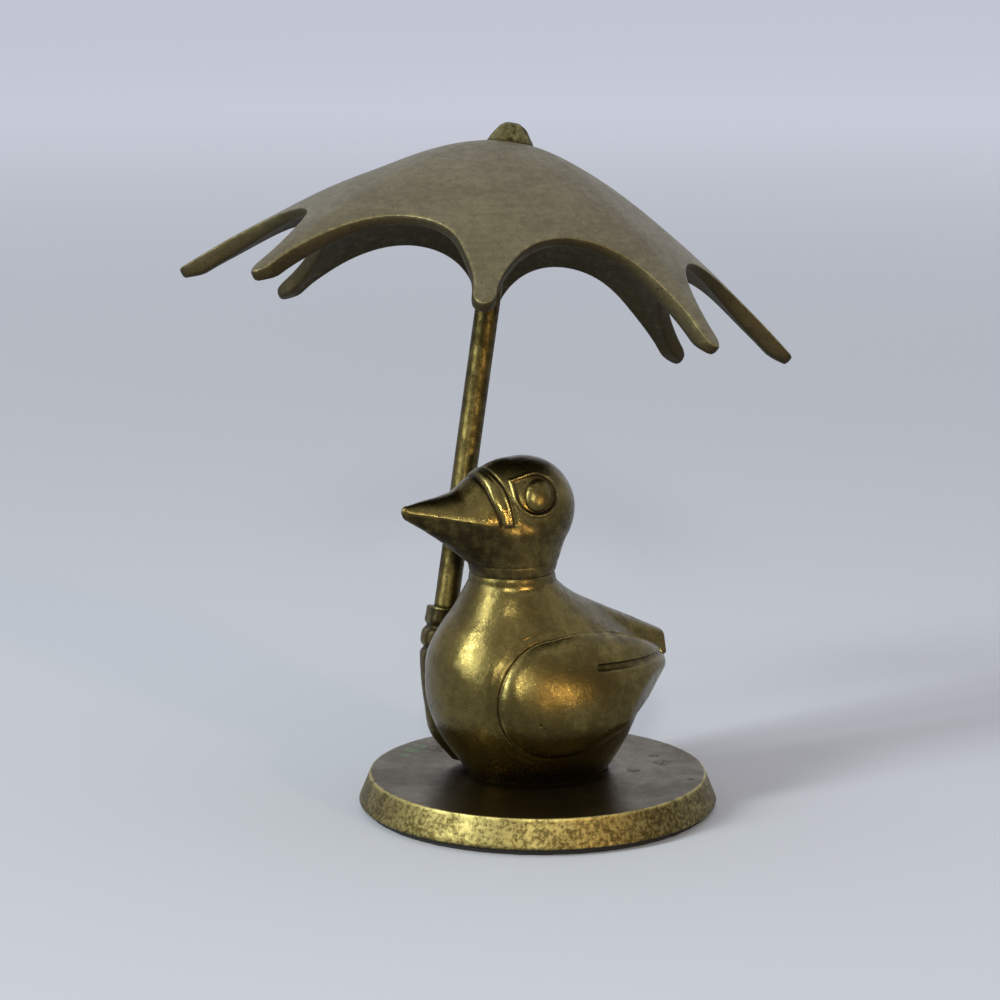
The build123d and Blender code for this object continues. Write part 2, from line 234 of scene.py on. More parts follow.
# Umbrella
ROD_RADIUS = 2.5
ROD_CHAMFER = 0.12
STUD_RADIUS = 2.0
STUD_CHAMFER = 0.4
THREAD_DEPTH = 0.22
THREAD_PITCH = 0.7
FOOT_STUD_LENGTH = 6.4
ROD_LENGTH = 91.5
TOP_STUD_LENGTH = 8.4
SOCKET_DEPTH = 7.6
SOCKET_RADIUS = 2.05
ARMS = 8
SECTOR = TURN / ARMS
ARM_REACH = 63.9
ARM_END_START = 60.8
HUB_RADIUS = 4.6
HUB_HEIGHT = 2.6
CAD_WALL = 2.2
DOME_STEEPNESS = 0.88
DOME_CROWN_RADIUS = 30.0
CROWN_RADIUS = 5.0
CROWN_TOP = ROD_LENGTH + HUB_HEIGHT + CAD_WALL
ARCH_HALF_WIDTH = 23.2
ARCH_DEPTH = 31.5
PANEL_SHARE = 0.97
RIDGE_SOFTNESS = 0.03
# From the arm that heads forwards and left, turning towards the tail
ARM_DROOPS = (0.9, 2.3, 0.3, 1.9, 0.9, -0.4, -0.3, 0.0)
ARM_TURNS = np.radians((-0.9, -0.75, 0.0, 1.1, 0.0, 1.0, 0.0, -0.6))
ARM_EXTRA_WIDTHS = (0.7, 0.3, 0.2, 0.3, 0.0, 0.3, 0.2, 0.4)
ARCH_TOPS = (43.0, 43.2, 43.4, 42.6, 42.4, 42.6, 43.2, 43.4)
ARM_HALF_WIDTH = 2.15
FINIAL_RADIUS = 4.7
FINIAL_HEIGHT = 4.5

# Casting holes in the breast: place from the base's top, radius and depth
PITS = (
    ((9.9, -20.8, 29.8), 0.62, 0.5),
    ((10.3, -20.5, 28.7), 0.45, 0.4),
    ((6.6, -21.7, 31.4), 0.28, 0.3),
    ((8.4, -21.6, 30.6), 0.25, 0.3),
    ((4.4, -20.6, 36.4), 0.35, 0.35),
)

# Base: the screw's hole and recess below, and where the duck's foot stands on the top
# The solid's sharp bottom corner would stand this far out past its rounded edge
BASE_CORNER_ALLOWANCE = 0.147
SCREW_HOLE_RADIUS = 2.2
SCREW_RECESS_RADIUS = 4.6
SCREW_RECESS_DEPTH = 3.0
FOOT_HALVES = (13.0, 15.6)
FOOT_BACK = 0.5
# Stains on the base's top: place and radius
GREEN_SPOTS = (
    ((-25.5, -16.0), 1.6),
    ((-27.5, -13.1), 1.1),
    ((-22.8, -19.0), 1.0),
)
DARK_SPOTS = (
    ((7.5, 25.5), 1.6),
    ((9.5, 17.1), 1.3),
    ((2.0, 26.5), 1.0),
    ((-24.0, -10.5), 2.0),
    ((20.8, 23.8), 0.8),
)


def length_property(name, description, default):
    """A length property with the given default in metres."""
    return FloatProperty(name=name, description=description, default=default, unit="LENGTH")


def power_property(name, description, default):
    """A lamp's power property with the given default in watts."""
    return FloatProperty(name=name, description=description, default=default, unit="POWER")


def colour_property(name, description, default):
    """A colour property with the given default."""
    return FloatVectorProperty(
        name=name,
        description=description,
        default=default,
        subtype="COLOR",
        size=3,
        min=0,
        max=1,
    )


class DuckSizes(bpy.types.PropertyGroup):
    """Relief of the duck's casting."""

    band_rise: length_property("Band rise", "How proud the beak's bands stand", 0.00042)
    neck_groove: length_property("Neck groove", "Depth of the lines round the neck", 0.00014)
    wing_groove: length_property("Wing groove", "Depth of the line round the left wing", 0.00035)
    wing_step: length_property("Wing step", "How proud the left wing's edge stands of the body", 0.00045)
    feather_groove: length_property("Feather groove", "Depth of the groove at the wing's tip", 0.0009)
    eye_rise: length_property("Eye rise", "How proud the eye stands of the head's ball", 0.0009)
    socket_depth: length_property("Eye socket", "Depth of the hollow round the eye", 0.0006)
    unevenness: length_property("Unevenness", "Height of the casting's slow waves", 0.00004)


class UmbrellaSizes(bpy.types.PropertyGroup):
    """Walls and edges of the umbrella."""

    shell_wall: length_property("Shell wall", "Thickness of the dome", 0.0021)
    arm_wall: length_property("Arm wall", "Thickness of the arms", 0.0035)
    edge_round: length_property("Edge rounding", "Reach of the rounding along the edges", 0.0008)
    unevenness: length_property("Unevenness", "Height of the canopy's slow waves", 0.00022)


class BaseSizes(bpy.types.PropertyGroup):
    """Edges of the base and its pad."""

    edge_round: length_property("Edge rounding", "Radius of the base's edges", 0.00035)
    top_inset: length_property("Flare", "How far the side leans in from bottom to top", 0.0021)
    pad_round: length_property("Pad rounding", "Radius of the felt's edges", 0.0004)


class BrassColours(bpy.types.PropertyGroup):
    """Colours of the aged brass and the felt."""

    bright: colour_property("Rubbed brass", "Where hands have kept the brass bright", (0.42, 0.35, 0.13))
    aged: colour_property("Aged brass", "Most of the casting", (0.118, 0.090, 0.030))
    # Dark patina and painted shade: used for specks, stains and patina, and also painted as shade into creases,
    # undersides and sides turned from the lamps
    dark: colour_property("Dark patina", "Hollows and stains", (0.024, 0.018, 0.009))
    canopy: colour_property("Canopy patina", "The matt skin of the umbrella", (0.160, 0.136, 0.073))
    finial: colour_property("Finial patina", "The rough cap on the umbrella", (0.155, 0.135, 0.058))
    top_dark: colour_property("Base top, dark", "Dark clouds on the base's top", (0.055, 0.039, 0.015))
    top_light: colour_property("Base top, light", "Light clouds on the base's top", (0.142, 0.108, 0.048))
    side_dark: colour_property("Base side, dark", "Dark blotches on the base's side", (0.062, 0.046, 0.015))
    side_light: colour_property("Base side, light", "Bright metal on the base's side", (0.23, 0.185, 0.068))
    verdigris: colour_property("Verdigris", "Green spots", (0.09, 0.17, 0.095))
    # Near-black felt: partly its own colour, partly painted shade for the gap under the base
    felt: colour_property("Felt", "The pad under the base", (0.006, 0.006, 0.007))


class StageSettings(bpy.types.PropertyGroup):
    """Floor, lamps and surroundings."""

    # Painted light: the floor is painted darker near the duck, where the lamps light it, and paler far off,
    # where their light falls off
    floor: colour_property("Floor", "The pale floor round the duck", (0.40, 0.41, 0.45))
    far_floor: colour_property("Far floor", "The floor far behind the duck", (0.74, 0.76, 0.83))
    room: colour_property("Room", "The room round the duck", (0.66, 0.68, 0.75))
    dark_side: colour_property("Dark side", "The room on the duck's left", (0.02, 0.018, 0.016))
    ceiling: colour_property("Ceiling", "The room overhead", (0.95, 0.96, 1.0))
    window_power: power_property("Window", "Power of the tall soft lamp", 16.0)
    front_power: power_property("Front lamp", "Power of the small lamp near the camera", 3.1)
    lamp_power: power_property("Lamp", "Power of the small warm lamp", 2.6)


def through(rows, at):
    """Smooth curves through rows of (place, value, value...): between two rows a cubic runs from one to the
    other with the slopes that the neighbouring rows give."""
    rows = np.asarray(rows, float)
    place, values = rows[:, 0], rows[:, 1:]
    slopes = np.gradient(values, place, axis=0)
    at = np.asarray(at, float)
    index = np.clip(np.searchsorted(place, at) - 1, 0, len(place) - 2)
    span = place[index + 1] - place[index]
    t = np.clip((at - place[index]) / span, 0, 1)[..., None]
    span = span[..., None]
    start, end = values[index], values[index + 1]
    rise = (2 * t**3 - 3 * t**2 + 1) * start + (3 * t**2 - 2 * t**3) * end
    bend = (t**3 - 2 * t**2 + t) * slopes[index] + (t**3 - t**2) * slopes[index + 1]
    return np.moveaxis(rise + bend * span, -1, 0)


def ease(value):
    """A smooth step: 0 below 0, 1 above 1 and an S-shaped cubic between."""
    value = np.clip(value, 0, 1)
    return value * value * (3 - 2 * value)


def blend_max(a, b, reach):
    """The greater of two values, rounded where they differ by less than the reach."""
    near = np.clip(1 - np.abs(a - b) / reach, 0, 1)
    return np.maximum(a, b) + near * near * reach / 4


def blend_min(a, b, reach):
    """The lesser of two values, rounded where they differ by less than the reach."""
    return -blend_max(-a, -b, reach)


def bump(distance, width):
    """A rounded bump, 1 at no distance and nearly 0 from about twice the width."""
    return np.exp(-((distance / width) ** 2))


def wobble(points, wavelength, seed):
    """Slow unevenness between about -1 and 1: the mean of eight sine waves through space, each with its own
    fixed heading and phase and a wavelength near the given one."""
    waves = 8
    random = np.random.default_rng(seed)
    heading = random.normal(size=(3, waves))
    heading /= np.linalg.norm(heading, axis=0)
    count = TURN / wavelength * random.uniform(0.7, 1.4, waves)
    swings = np.sin(points @ (heading * count) + random.uniform(0, TURN, waves))
    return swings.mean(axis=-1) * 1.6


def normals(rings):
    """Unit normals of a grid: the cross product of the step along its rows and the step round its columns,
    turned to point away from the middle of each ring."""
    along = np.gradient(rings, axis=0)
    around = np.roll(rings, -1, axis=1) - np.roll(rings, 1, axis=1)
    normal = np.cross(around, along)
    normal /= np.maximum(np.linalg.norm(normal, axis=-1, keepdims=True), 1e-9)
    outwards = rings - rings.mean(axis=1, keepdims=True)
    sign = np.sign((normal * outwards).sum(axis=(0, 1, 2)))
    return normal * sign


def line_distance(y, z, start, end):
    """Distance from points to a straight run, and the share of the run where the nearest point lies."""
    run_y, run_z = end[0] - start[0], end[1] - start[1]
    share = ((y - start[0]) * run_y + (z - start[1]) * run_z) / (run_y**2 + run_z**2)
    held = np.clip(share, 0, 1)
    return np.hypot(y - start[0] - held * run_y, z - start[1] - held * run_z), share


def smoothed(values, reach=12):
    """Values round a closed line, each replaced by the mean of itself and its neighbours on both sides."""
    return sum(np.roll(values, shift) for shift in range(-reach, reach + 1)) / (2 * reach + 1)


def even(points, count):
    """A line of points spread again at even steps along its length."""
    steps = np.linalg.norm(np.diff(points, axis=0), axis=1)
    length = np.concatenate([[0], np.cumsum(steps)])
    at = np.linspace(0, length[-1], count)
    return np.stack([np.interp(at, length, points[:, i]) for i in range(points.shape[1])], axis=-1)


def skin(name, rings, wear, hollow, joined=False):
    """A closed mesh over a grid of rings: four-sided faces between neighbouring rings, with a fan of
    triangles over the first and the last, or the last ring joined to the first. Wear, and the painted shade
    with patina, are kept as values at its points."""
    rows, columns = rings.shape[:2]
    points = [rings.reshape(-1, 3)]
    rubbed = [wear.reshape(-1)]
    shade_and_patina_lists = [hollow.reshape(-1)]
    row = np.arange(rows if joined else rows - 1)[:, None]
    column = np.arange(columns)[None, :]
    after = (column + 1) % columns
    above = (row + 1) % rows
    low = (row * columns + column, row * columns + after)
    high = (above * columns + after, above * columns + column)
    quads = np.stack([*low, *high], -1).reshape(-1, 4)
    fans = []
    first = np.arange(columns)
    second = (first + 1) % columns
    for ring, order in () if joined else ((0, -1), (rows - 1, 1)):
        centre = sum(len(p) for p in points)
        points.append(rings[ring].mean(axis=0)[None])
        rubbed.append(wear[ring].mean()[None])
        shade_and_patina_lists.append(hollow[ring].mean()[None])
        start = ring * columns
        fan = np.stack([start + first, start + second, np.full(columns, centre)], -1)
        fans.append(fan[:, ::order])
    points = np.concatenate(points)
    fans = np.concatenate(fans) if fans else np.zeros((0, 3), int)
    triangles = np.concatenate([quads[:, [0, 1, 2]], quads[:, [0, 2, 3]], fans])
    a, b, c = (points[triangles[:, i]] for i in range(3))
    if (a * np.cross(b, c)).sum() < 0:
        quads, fans = quads[:, ::-1], fans[:, ::-1]
    mesh = bpy.data.meshes.new(name)
    mesh.vertices.add(len(points))
    mesh.vertices.foreach_set("co", (points * MM).ravel())
    mesh.loops.add(quads.size + fans.size)
    mesh.loops.foreach_set("vertex_index", np.concatenate([quads.ravel(), fans.ravel()]))
    mesh.polygons.add(len(quads) + len(fans))
    starts = np.concatenate([np.arange(len(quads)) * 4, quads.size + np.arange(len(fans)) * 3])
    mesh.polygons.foreach_set("loop_start", starts)
    mesh.update(calc_edges=True)
    mesh.validate()
    mesh.polygons.foreach_set("use_smooth", np.ones(len(mesh.polygons), bool))
    for label, values in (("wear", rubbed), ("hollow", shade_and_patina_lists)):
        layer = mesh.attributes.new(label, "FLOAT", "POINT")
        layer.data.foreach_set("value", np.clip(np.concatenate(values), 0, 1).astype(np.float32))
    piece = bpy.data.objects.new(name, mesh)
    bpy.context.scene.collection.objects.link(piece)
    return piece


def finish(piece, body, slot, material, *nodes):
    """Gives a piece its material and its body, and hides the imported nodes that it stands for. The slot is
    not used.
    """
    piece.data.materials.append(material)
    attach(piece, body)
    if nodes:
        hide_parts(*nodes)


def trunk_depth(y, height):
    """Square of the trunk's half width at a place in the middle plane, negative outside: an oval's, rounded
    into the tail's, which narrows in a straight line from its root to its blunt end."""
    front, back, half = through(TRUNK, height)
    middle, reach = (back - front) / 2, (back + front) / 2
    oval = half**2 * (1 - np.abs((y - middle) / reach) ** TRUNK_ROUNDNESS)
    root, end = TAIL_ROOT[0], TAIL_END[0]
    way = (y - root) / (end - root)
    bottom, top, wide, narrow = (a + (b - a) * way for a, b in zip(TAIL_ROOT[1:], TAIL_END[1:]))
    level = (height - bottom) / (top - bottom)
    side = np.maximum(wide + (narrow - wide) * np.clip(level, 0, 1), 0.1)
    rounding = 1 - ease((y - end + TAIL_ROUND) / TAIL_ROUND) ** 2
    tail = side**2 * (1 - np.abs(2 * level - 1) ** TAIL_SQUARENESS) * rounding
    tail = tail - PAST_TAIL_END * np.clip(y - end, 0, None)
    tail = tail - AHEAD_OF_TAIL_ROOT * np.clip(root - y, 0, None)
    return blend_max(oval, tail, TAIL_BLEND)


def head_depth(y, height):
    """Square of the head's half width at a place in the middle plane, negative outside: a ball's, a
    throat's of ovals and a beak's whose sides meet in an edge, rounded into each other."""
    ball = BALL_RADIUS**2 - (y + BALL_FORWARD) ** 2 - (height - BALL_HEIGHT) ** 2
    front, back, half = through(THROAT, height)
    middle, reach = (back - front) / 2, (back + front) / 2
    throat = half**2 * (1 - ((y - middle) / reach) ** 2)
    throat = throat - THROAT_FADE * np.clip(height - THROAT_TOP, 0, None) ** 2
    ahead = np.clip(-y, BEAK_ROOT, BEAK_REACH)
    edge, wide, rise, drop, roundness = through(BEAK, ahead)
    level = np.where(height > edge, (height - edge) / rise, (edge - height) / drop)
    tip = 1 - (ahead / BEAK_REACH) ** BEAK_TIP_BLUNTNESS
    beak = wide**2 * (1 - np.abs(level) ** roundness) * tip
    beak = beak - BEHIND_BEAK_ROOT * np.clip(y + BEAK_ROOT, 0, None) ** 2
    beak = beak - PAST_BEAK_TIP * np.clip(-y - BEAK_REACH, 0, None)
    skull = blend_max(ball, throat, THROAT_BLEND)
    return blend_max(skull, beak, BEAK_BLEND)


def wing_outline(count):
    """Side view of the left wing, at even steps: a round front, an upper and a lower edge that swell a little
    from straight, and a short blunt tip."""
    y, z = WING_CENTRE
    back, top, bottom = WING_TIP
    steps = 121
    angle = np.linspace(-np.pi / 2, -3 * np.pi / 2, steps)
    front = np.stack([y + WING_RADIUS * np.cos(angle), z + WING_RADIUS * np.sin(angle)], -1)
    t = np.linspace(0, 1, steps)[1:]
    swell = 4 * t * (1 - t)
    rise = (top - z - WING_RADIUS) * t + WING_BULGES[0] * swell
    upper = np.stack([y + (back - y) * t, z + WING_RADIUS + rise], -1)
    tip = np.stack([back + WING_TIP_BULGE * swell, top + (bottom - top) * t], -1)
    keel = z - WING_RADIUS
    sag, sag_place, sag_width = WING_SAG
    drop = WING_BULGES[1] * swell + sag * bump(t - sag_place, sag_width)
    lower = np.stack([back + (y - back) * t, bottom + (keel - bottom) * t - drop], -1)
    outline = np.concatenate([front, upper, tip, lower])
    return even(outline, count + 1)[:-1]


def wing_side(y, height):
    """How far out the left wing's face lies: an ellipsoid with a longer rear half, cut by a flat facet under
    the tip."""
    half, front, back, tall = WING_FORM
    along = y - WING_FORM_PLACE[0]
    along = along / np.where(along > 0, back, front)
    up = (height - WING_FORM_PLACE[1]) / tall
    round_form = half * np.sqrt(np.clip(1 - along**2 - up**2, 0.02, None))
    side, place, level, backwards, upwards = WING_FACET
    facet = side + backwards * (y - place) + upwards * (height - level)
    return blend_min(round_form, facet, WING_FACET_BLEND)


def outline_distance(y, height):
    """Distance from points to the left wing's outline, seen from the side."""
    outline = wing_outline(260)
    nearest = np.full(y.shape, np.inf)
    for start, end in zip(outline, np.roll(outline, -1, axis=0)):
        nearest = np.minimum(nearest, line_distance(y, height, start, end)[0])
    return nearest


def ring_of(place, depth):
    """A ring through the middle plane: the front point, one side back to the rear point and the other side
    forwards again. Half widths are the roots of the depths."""
    side = np.sqrt(np.clip(depth, 0, None))
    both = np.concatenate([side, -side[:, -2:0:-1]], axis=1)
    return np.concatenate([place, place[:, -2:0:-1]], axis=1), both


def spans(start, step, lengths, depth_at):
    """First and last place along straight lines where the depth is above 0, by straight interpolation between
    closely spaced tests, and whether there is one."""
    y = start[0] + step[:, :1] * lengths
    height = start[1] + step[:, 1:] * lengths
    depth = depth_at(y, height)
    inside = depth > 0
    low = np.clip(inside.argmax(axis=1), 1, None)
    high = len(lengths) - 1 - inside[:, ::-1].argmax(axis=1)
    row = np.arange(len(step))
    gap = lengths[1] - lengths[0]
    before, here = depth[row, low - 1], depth[row, low]
    first = lengths[low - 1] + gap * before / np.minimum(before - here, -1e-9)
    after = np.clip(high + 1, None, len(lengths) - 1)
    here, beyond = depth[row, high], depth[row, after]
    last = lengths[high] + gap * here / np.maximum(here - beyond, 1e-9)
    return first, last, inside.any(axis=1)


def trunk_rings(rows, half_columns):
    """The trunk as level rings: each runs round the middle plane's first and last place at its height, closer
    together where the tail's underside leaves the body."""
    even_rows = np.linspace(0.0, NECK_CUT, rows)
    height = np.sort(np.concatenate([even_rows, np.linspace(*TAIL_UNDERSIDE, rows // 8)]))
    height = np.unique(np.round(height, 4))
    lengths = np.linspace(*TRUNK_SPAN, TESTS)
    y = np.broadcast_to(lengths, (len(height), len(lengths)))
    depth = trunk_depth(y, height[:, None])
    inside = depth > 0
    row = np.arange(len(height))
    low, high = inside.argmax(axis=1), len(lengths) - 1 - inside[:, ::-1].argmax(axis=1)
    gap = lengths[1] - lengths[0]
    first = lengths[low] - gap * depth[row, low] / (depth[row, low] - depth[row, low - 1])
    last = lengths[high] + gap * depth[row, high] / (depth[row, high] - depth[row, high + 1])
    turn = np.linspace(0, np.pi, half_columns)
    place = (first + last)[:, None] / 2 - (last - first)[:, None] / 2 * np.cos(turn)
    depth = trunk_depth(place, height[:, None])
    depth[:, [0, -1]] = 0
    place, side = ring_of(place, depth)
    return np.stack([side, place, np.broadcast_to(height[:, None], place.shape)], -1)


def head_rings(rows, half_columns):
    """The head as rings that fan out from a line just ahead of the throat: the first lies level across the
    neck, and the last closes on the beak's tip. On each, half of the points lie below the beak's side
    edge."""
    corner = np.array(THROAT_CORNER)
    lengths = np.linspace(*HEAD_SPAN, TESTS)
    tests = np.radians(np.linspace(90, 145, 2200))
    step = np.stack([np.cos(tests), np.sin(tests)], -1)
    inside = spans(corner, step, lengths, head_depth)[2]
    widest = tests[inside][-1] - np.radians(0.03)
    share = np.linspace(0, 1, rows)
    angle = widest * (1 - (1 - share) ** 1.3)
    step = np.stack([np.cos(angle), np.sin(angle)], -1)
    first, last, _ = spans(corner, step, lengths, head_depth)
    middle = (first + last) / 2
    edge = middle.copy()
    steep = np.maximum(np.sin(angle), 0.2)
    for _ in range(12):
        ahead = np.clip(-corner[0] - edge * np.cos(angle), BEAK_ROOT, BEAK_REACH)
        edge = (through(BEAK, ahead)[0] - corner[1]) / steep
    crisp = ease((angle - np.radians(35)) / np.radians(30))
    margin = 0.15 * (last - first)
    edge = middle + (np.clip(edge, first + margin, last - margin) - middle) * crisp
    half = half_columns // 2
    turn = np.sin(np.linspace(0, np.pi / 2, half + 1))
    below = edge[:, None] - (edge - first)[:, None] * turn[::-1]
    above = edge[:, None] + (last - edge)[:, None] * turn[1:]
    length = np.concatenate([below, above], axis=1)
    y = corner[0] + step[:, :1] * length
    height = corner[1] + step[:, 1:] * length
    depth = head_depth(y, height)
    depth[:, [0, -1]] = 0
    place, side = ring_of(y, depth)
    level = np.concatenate([height, height[:, -2:0:-1]], axis=1)
    return np.stack([side, place, level], -1)


def neck_lines(height, depth):
    """Two fine lines round the neck, as heights to add to the surface."""
    upper, lower = bump(height - NECK_LINE, 0.25), bump(height - NECK_CUT, 0.35)
    return -0.6 * depth * upper - 0.7 * depth * lower


def eye_axes(side):
    """Unit vectors out of the head through an eye's middle, up along the head's ball and forwards along
    it."""
    level = np.cos(EYE_ELEVATION)
    ahead, aside = np.cos(EYE_AZIMUTH) * level, np.sin(EYE_AZIMUTH) * level
    out = np.array([side * aside, -ahead, np.sin(EYE_ELEVATION)])
    up = np.array([0, 0, 1]) - out * out[2]
    up /= np.linalg.norm(up)
    return out, up, np.cross(up, out) * -side


def eye_places(points, side):
    """Places round an eye on the head's ball, forwards and upwards of the eye's middle in millimetres, and
    the cosine of the angle between each and the eye's middle."""
    out, up, forwards = eye_axes(side)
    arm = points - BALL_CENTRE
    reach = np.maximum(np.linalg.norm(arm, axis=-1), 1e-6)
    scale = BALL_RADIUS / reach
    return (arm @ forwards) * scale, (arm @ up) * scale, (arm @ out) / reach


def lid_distance(ahead, up):
    """Signed distance to the eye's lid, a drop shape: a circle with two straight sides that run from it to
    the pointed corner ahead of the eye."""
    reach = np.hypot(*EYE_CORNER)
    cos, sin = EYE_CORNER[0] / reach, EYE_CORNER[1] / reach
    along, across = ahead * cos + up * sin, np.abs(up * cos - ahead * sin)
    opening = np.arcsin(EYE_LID_RADIUS / reach)
    side = along * np.sin(opening) + across * np.cos(opening) - EYE_LID_RADIUS
    circle = np.hypot(along, across) - EYE_LID_RADIUS
    return np.where(np.arctan2(across, along) < np.pi / 2 - opening, side, circle)


def band_relief(place, height):
    """Two rounded bands over the beak's root, as shares of their rise: half a wave between the two grooves, a
    sharper crest beside the inner one and the grooves themselves. Also how much painted shade each point gets
    in the grooves."""
    ahead, between = through(BANDS, np.clip(height, BANDS[0][0], BANDS[-1][0]))
    share = (place - between) / np.maximum(ahead - between, 0.5)
    wave = np.sin(np.pi * np.clip(share, 0, 1)) ** 0.7
    strip = np.where((share > 0) & (share < 1), wave, 0)
    crest = bump(place - between - 0.12, 0.26)
    groove = bump(place - ahead - 0.05, 0.34) + 0.75 * bump(place - between + 0.42, 0.3)
    return 0.75 * strip + 0.7 * crest - 0.9 * groove, np.clip(groove, 0, 1)


def head_relief(points, sizes):
    """Heights to add to the head: the bands, the hollow and lid round each eye, and the neck's lines. Also
    the painted shade and patina at each point: painted shade in the bands' grooves, round the eyes and in the
    neck's lines, and painted shade with patina over the throat and chin under the beak."""
    place, height = -points[..., 1], points[..., 2]
    on_head = ease((height - BAND_FOOT) / 0.8)
    bands, hollow = band_relief(place, height)
    relief = on_head * (sizes.band_rise / MM) * bands
    hollow = on_head * hollow
    depth = sizes.socket_depth / MM
    for side in (1, -1):
        ahead, up, facing = eye_places(points, side)
        lid = lid_distance(ahead, up)
        near = ease((facing - 0.55) / 0.1)
        floor = ease(-lid / 0.5) * (1 - 0.55 * ease((ahead - 1.2) / 2.2))
        ridge = bump(lid - 0.1, 0.26)
        relief = relief * (1 - near * ease((0.4 - lid) / 0.5)) + near * depth * (0.55 * ridge - floor)
        # Painted shade in the socket round the lid
        hollow = np.maximum(hollow, near * bump(lid + 0.35, 0.4) * (1 - 0.6 * ease(ahead / 2)))
    relief = relief + neck_lines(height, sizes.neck_groove / MM)
    # Painted shade in the neck's lines, and painted shade with patina over the throat and chin under the beak
    lines = 0.4 * bump(height - NECK_CUT, 0.6) + 0.3 * bump(height - NECK_LINE, 0.3)
    throat_top = 54.3 + 0.12 * np.clip(place - 8, 0, None) + 0.3 * np.clip(9 - place, 0, 6)
    throat = (0.42 + 0.2 * ease((place - 9) / 6)) * ease((throat_top - height) / 1.5)
    return relief, np.maximum(np.maximum(hollow, lines), throat)


def pits(points):
    """Depths of small casting holes: rounded hollows at the places that the table gives."""
    depth = np.zeros(points.shape[:-1])
    for place, radius, deep in PITS:
        reach = np.linalg.norm(points - np.array(place), axis=-1)
        depth = np.maximum(depth, deep * bump(reach, radius))
    return depth


def trunk_relief(points, sizes):
    """Heights to add to the trunk: the neck's lines, a groove round the left wing with a filed band outside
    it, and casting holes. Also the painted shade and patina at each point: painted shade in the wing's groove,
    at the foot and on the neck above its step, darker towards the back, and patina in the casting holes."""
    x, y, height = points[..., 0], points[..., 1], points[..., 2]
    near = outline_distance(y, height)
    left = ease((x - 4) / 3) * ease((-4 - y) / 6)
    depth = sizes.wing_groove / MM
    relief = -left * (depth * bump(near, 0.3) + 0.35 * depth * ease((1.9 - near) / 0.5))
    relief = relief + neck_lines(height, sizes.neck_groove / MM)
    hole = pits(points)
    # Painted shade in the wing's groove, at the foot where the trunk meets the base and on the neck above its
    # step, darker towards the back, and patina in the casting holes
    hollow = left * bump(near, 0.45) + hole * 2 + ease((1.2 - height) / 1.2) * 0.6
    hollow = hollow + 0.4 * ease((height - 40.3) / 0.4) + 0.2 * ease((y - 10) / 8)
    return relief - hole, hollow


def lift(points):
    """Moves points that are measured from the base's top to the part's own frame."""
    return points + np.array([0, 0, BASE_TOP])


def wing_rings(rows, columns, sizes):
    """The left wing as rings round its middle: its face out to the rim, a rim rounded by a quarter of an oval
    that is widest along the upper edge, and a skirt that ends inside the body."""
    outline = wing_outline(columns)
    y, height = outline[:, 0], outline[:, 1]
    centre = np.array(WING_MIDDLE)
    inwards = centre - outline
    inwards /= np.linalg.norm(inwards, axis=1, keepdims=True)
    body = np.sqrt(np.clip(trunk_depth(y, height), 0, None))
    gap = wing_side(y, height) - body - sizes.wing_step / MM
    least, greatest = WING_FALLS
    raised = smoothed(np.clip(least - gap, 0, None))
    fall = smoothed(np.clip(gap, least, greatest))
    fall = fall * (1 - 0.75 * ease((y - 10) / 9))
    reach = WING_RIM[0] + WING_RIM[1] * fall
    inner = outline + inwards * reach[:, None]
    share = np.linspace(0, 1, rows + 1)[1:] ** 0.85
    face = centre + (inner - centre) * share[:, None, None]
    side = wing_side(face[..., 0], face[..., 1]) + raised * share[:, None] ** 4
    turn = np.linspace(0, 1, 25)[1:, None]
    rim = inner + (outline - inner) * turn[..., None]
    round_off = (1 - np.sqrt(1 - (WING_RIM_TURN * turn) ** 2)) / (1 - np.sqrt(1 - WING_RIM_TURN**2))
    rim_side = wing_side(rim[..., 0], rim[..., 1]) + raised - fall * round_off
    edge = np.radians(np.array([20, 45, 70, 90]))[:, None]
    rim = np.concatenate([rim, outline - inwards * WING_EDGE_ROUND * np.sin(edge)[..., None]])
    rim_side = np.concatenate([rim_side, rim_side[-1] - WING_EDGE_ROUND * (1 - np.cos(edge))])
    inset, skirt_depth = WING_SKIRT
    skirt_share = np.array([0.25, 0.6, 1.0])
    skirt = rim[-1] + inwards * (skirt_share[:, None, None] * inset)
    skirt_side = rim_side[-1] - skirt_share[:, None] * skirt_depth
    floor = centre + (outline - centre) * np.array([0.6, 0.2])[:, None, None]
    floor_side = np.broadcast_to(np.minimum(skirt_side[-1], WING_FLOOR), (2, columns))
    flat = np.concatenate([face, rim, skirt, floor])
    sides = np.concatenate([side, rim_side, skirt_side, floor_side])
    near, along = line_distance(flat[..., 0], flat[..., 1], *FEATHER_GROOVE)
    slot = ease((0.95 - near) / 0.75) * (1 - 0.25 * along)
    lines = np.zeros_like(near)
    for start, end in FEATHER_LINES:
        distance = line_distance(flat[..., 0], flat[..., 1], start, end)[0]
        lines = np.maximum(lines, bump(distance, FEATHER_LINE_WIDTH))
    on_face = (np.arange(len(flat)) < rows + len(turn))[:, None]
    relief = -(sizes.feather_groove / MM * slot + FEATHER_LINE_DEPTH * lines) * on_face
    points = np.stack([sides + relief, flat[..., 0], flat[..., 1]], -1)
    # Painted shade in the feather groove and the fine feather lines
    hollow = (bump(near + 0.05, 0.6) * 0.45 + 0.45 * lines) * on_face
    wear = np.zeros_like(hollow)
    wear[rows + 18 : rows + 26] = 0.3
    return points, wear, hollow


def shrunk(ring, centre, shares):
    """Copies of a ring drawn in towards a centre, one to each share."""
    return centre + (ring - centre) * np.array(shares)[:, None, None]


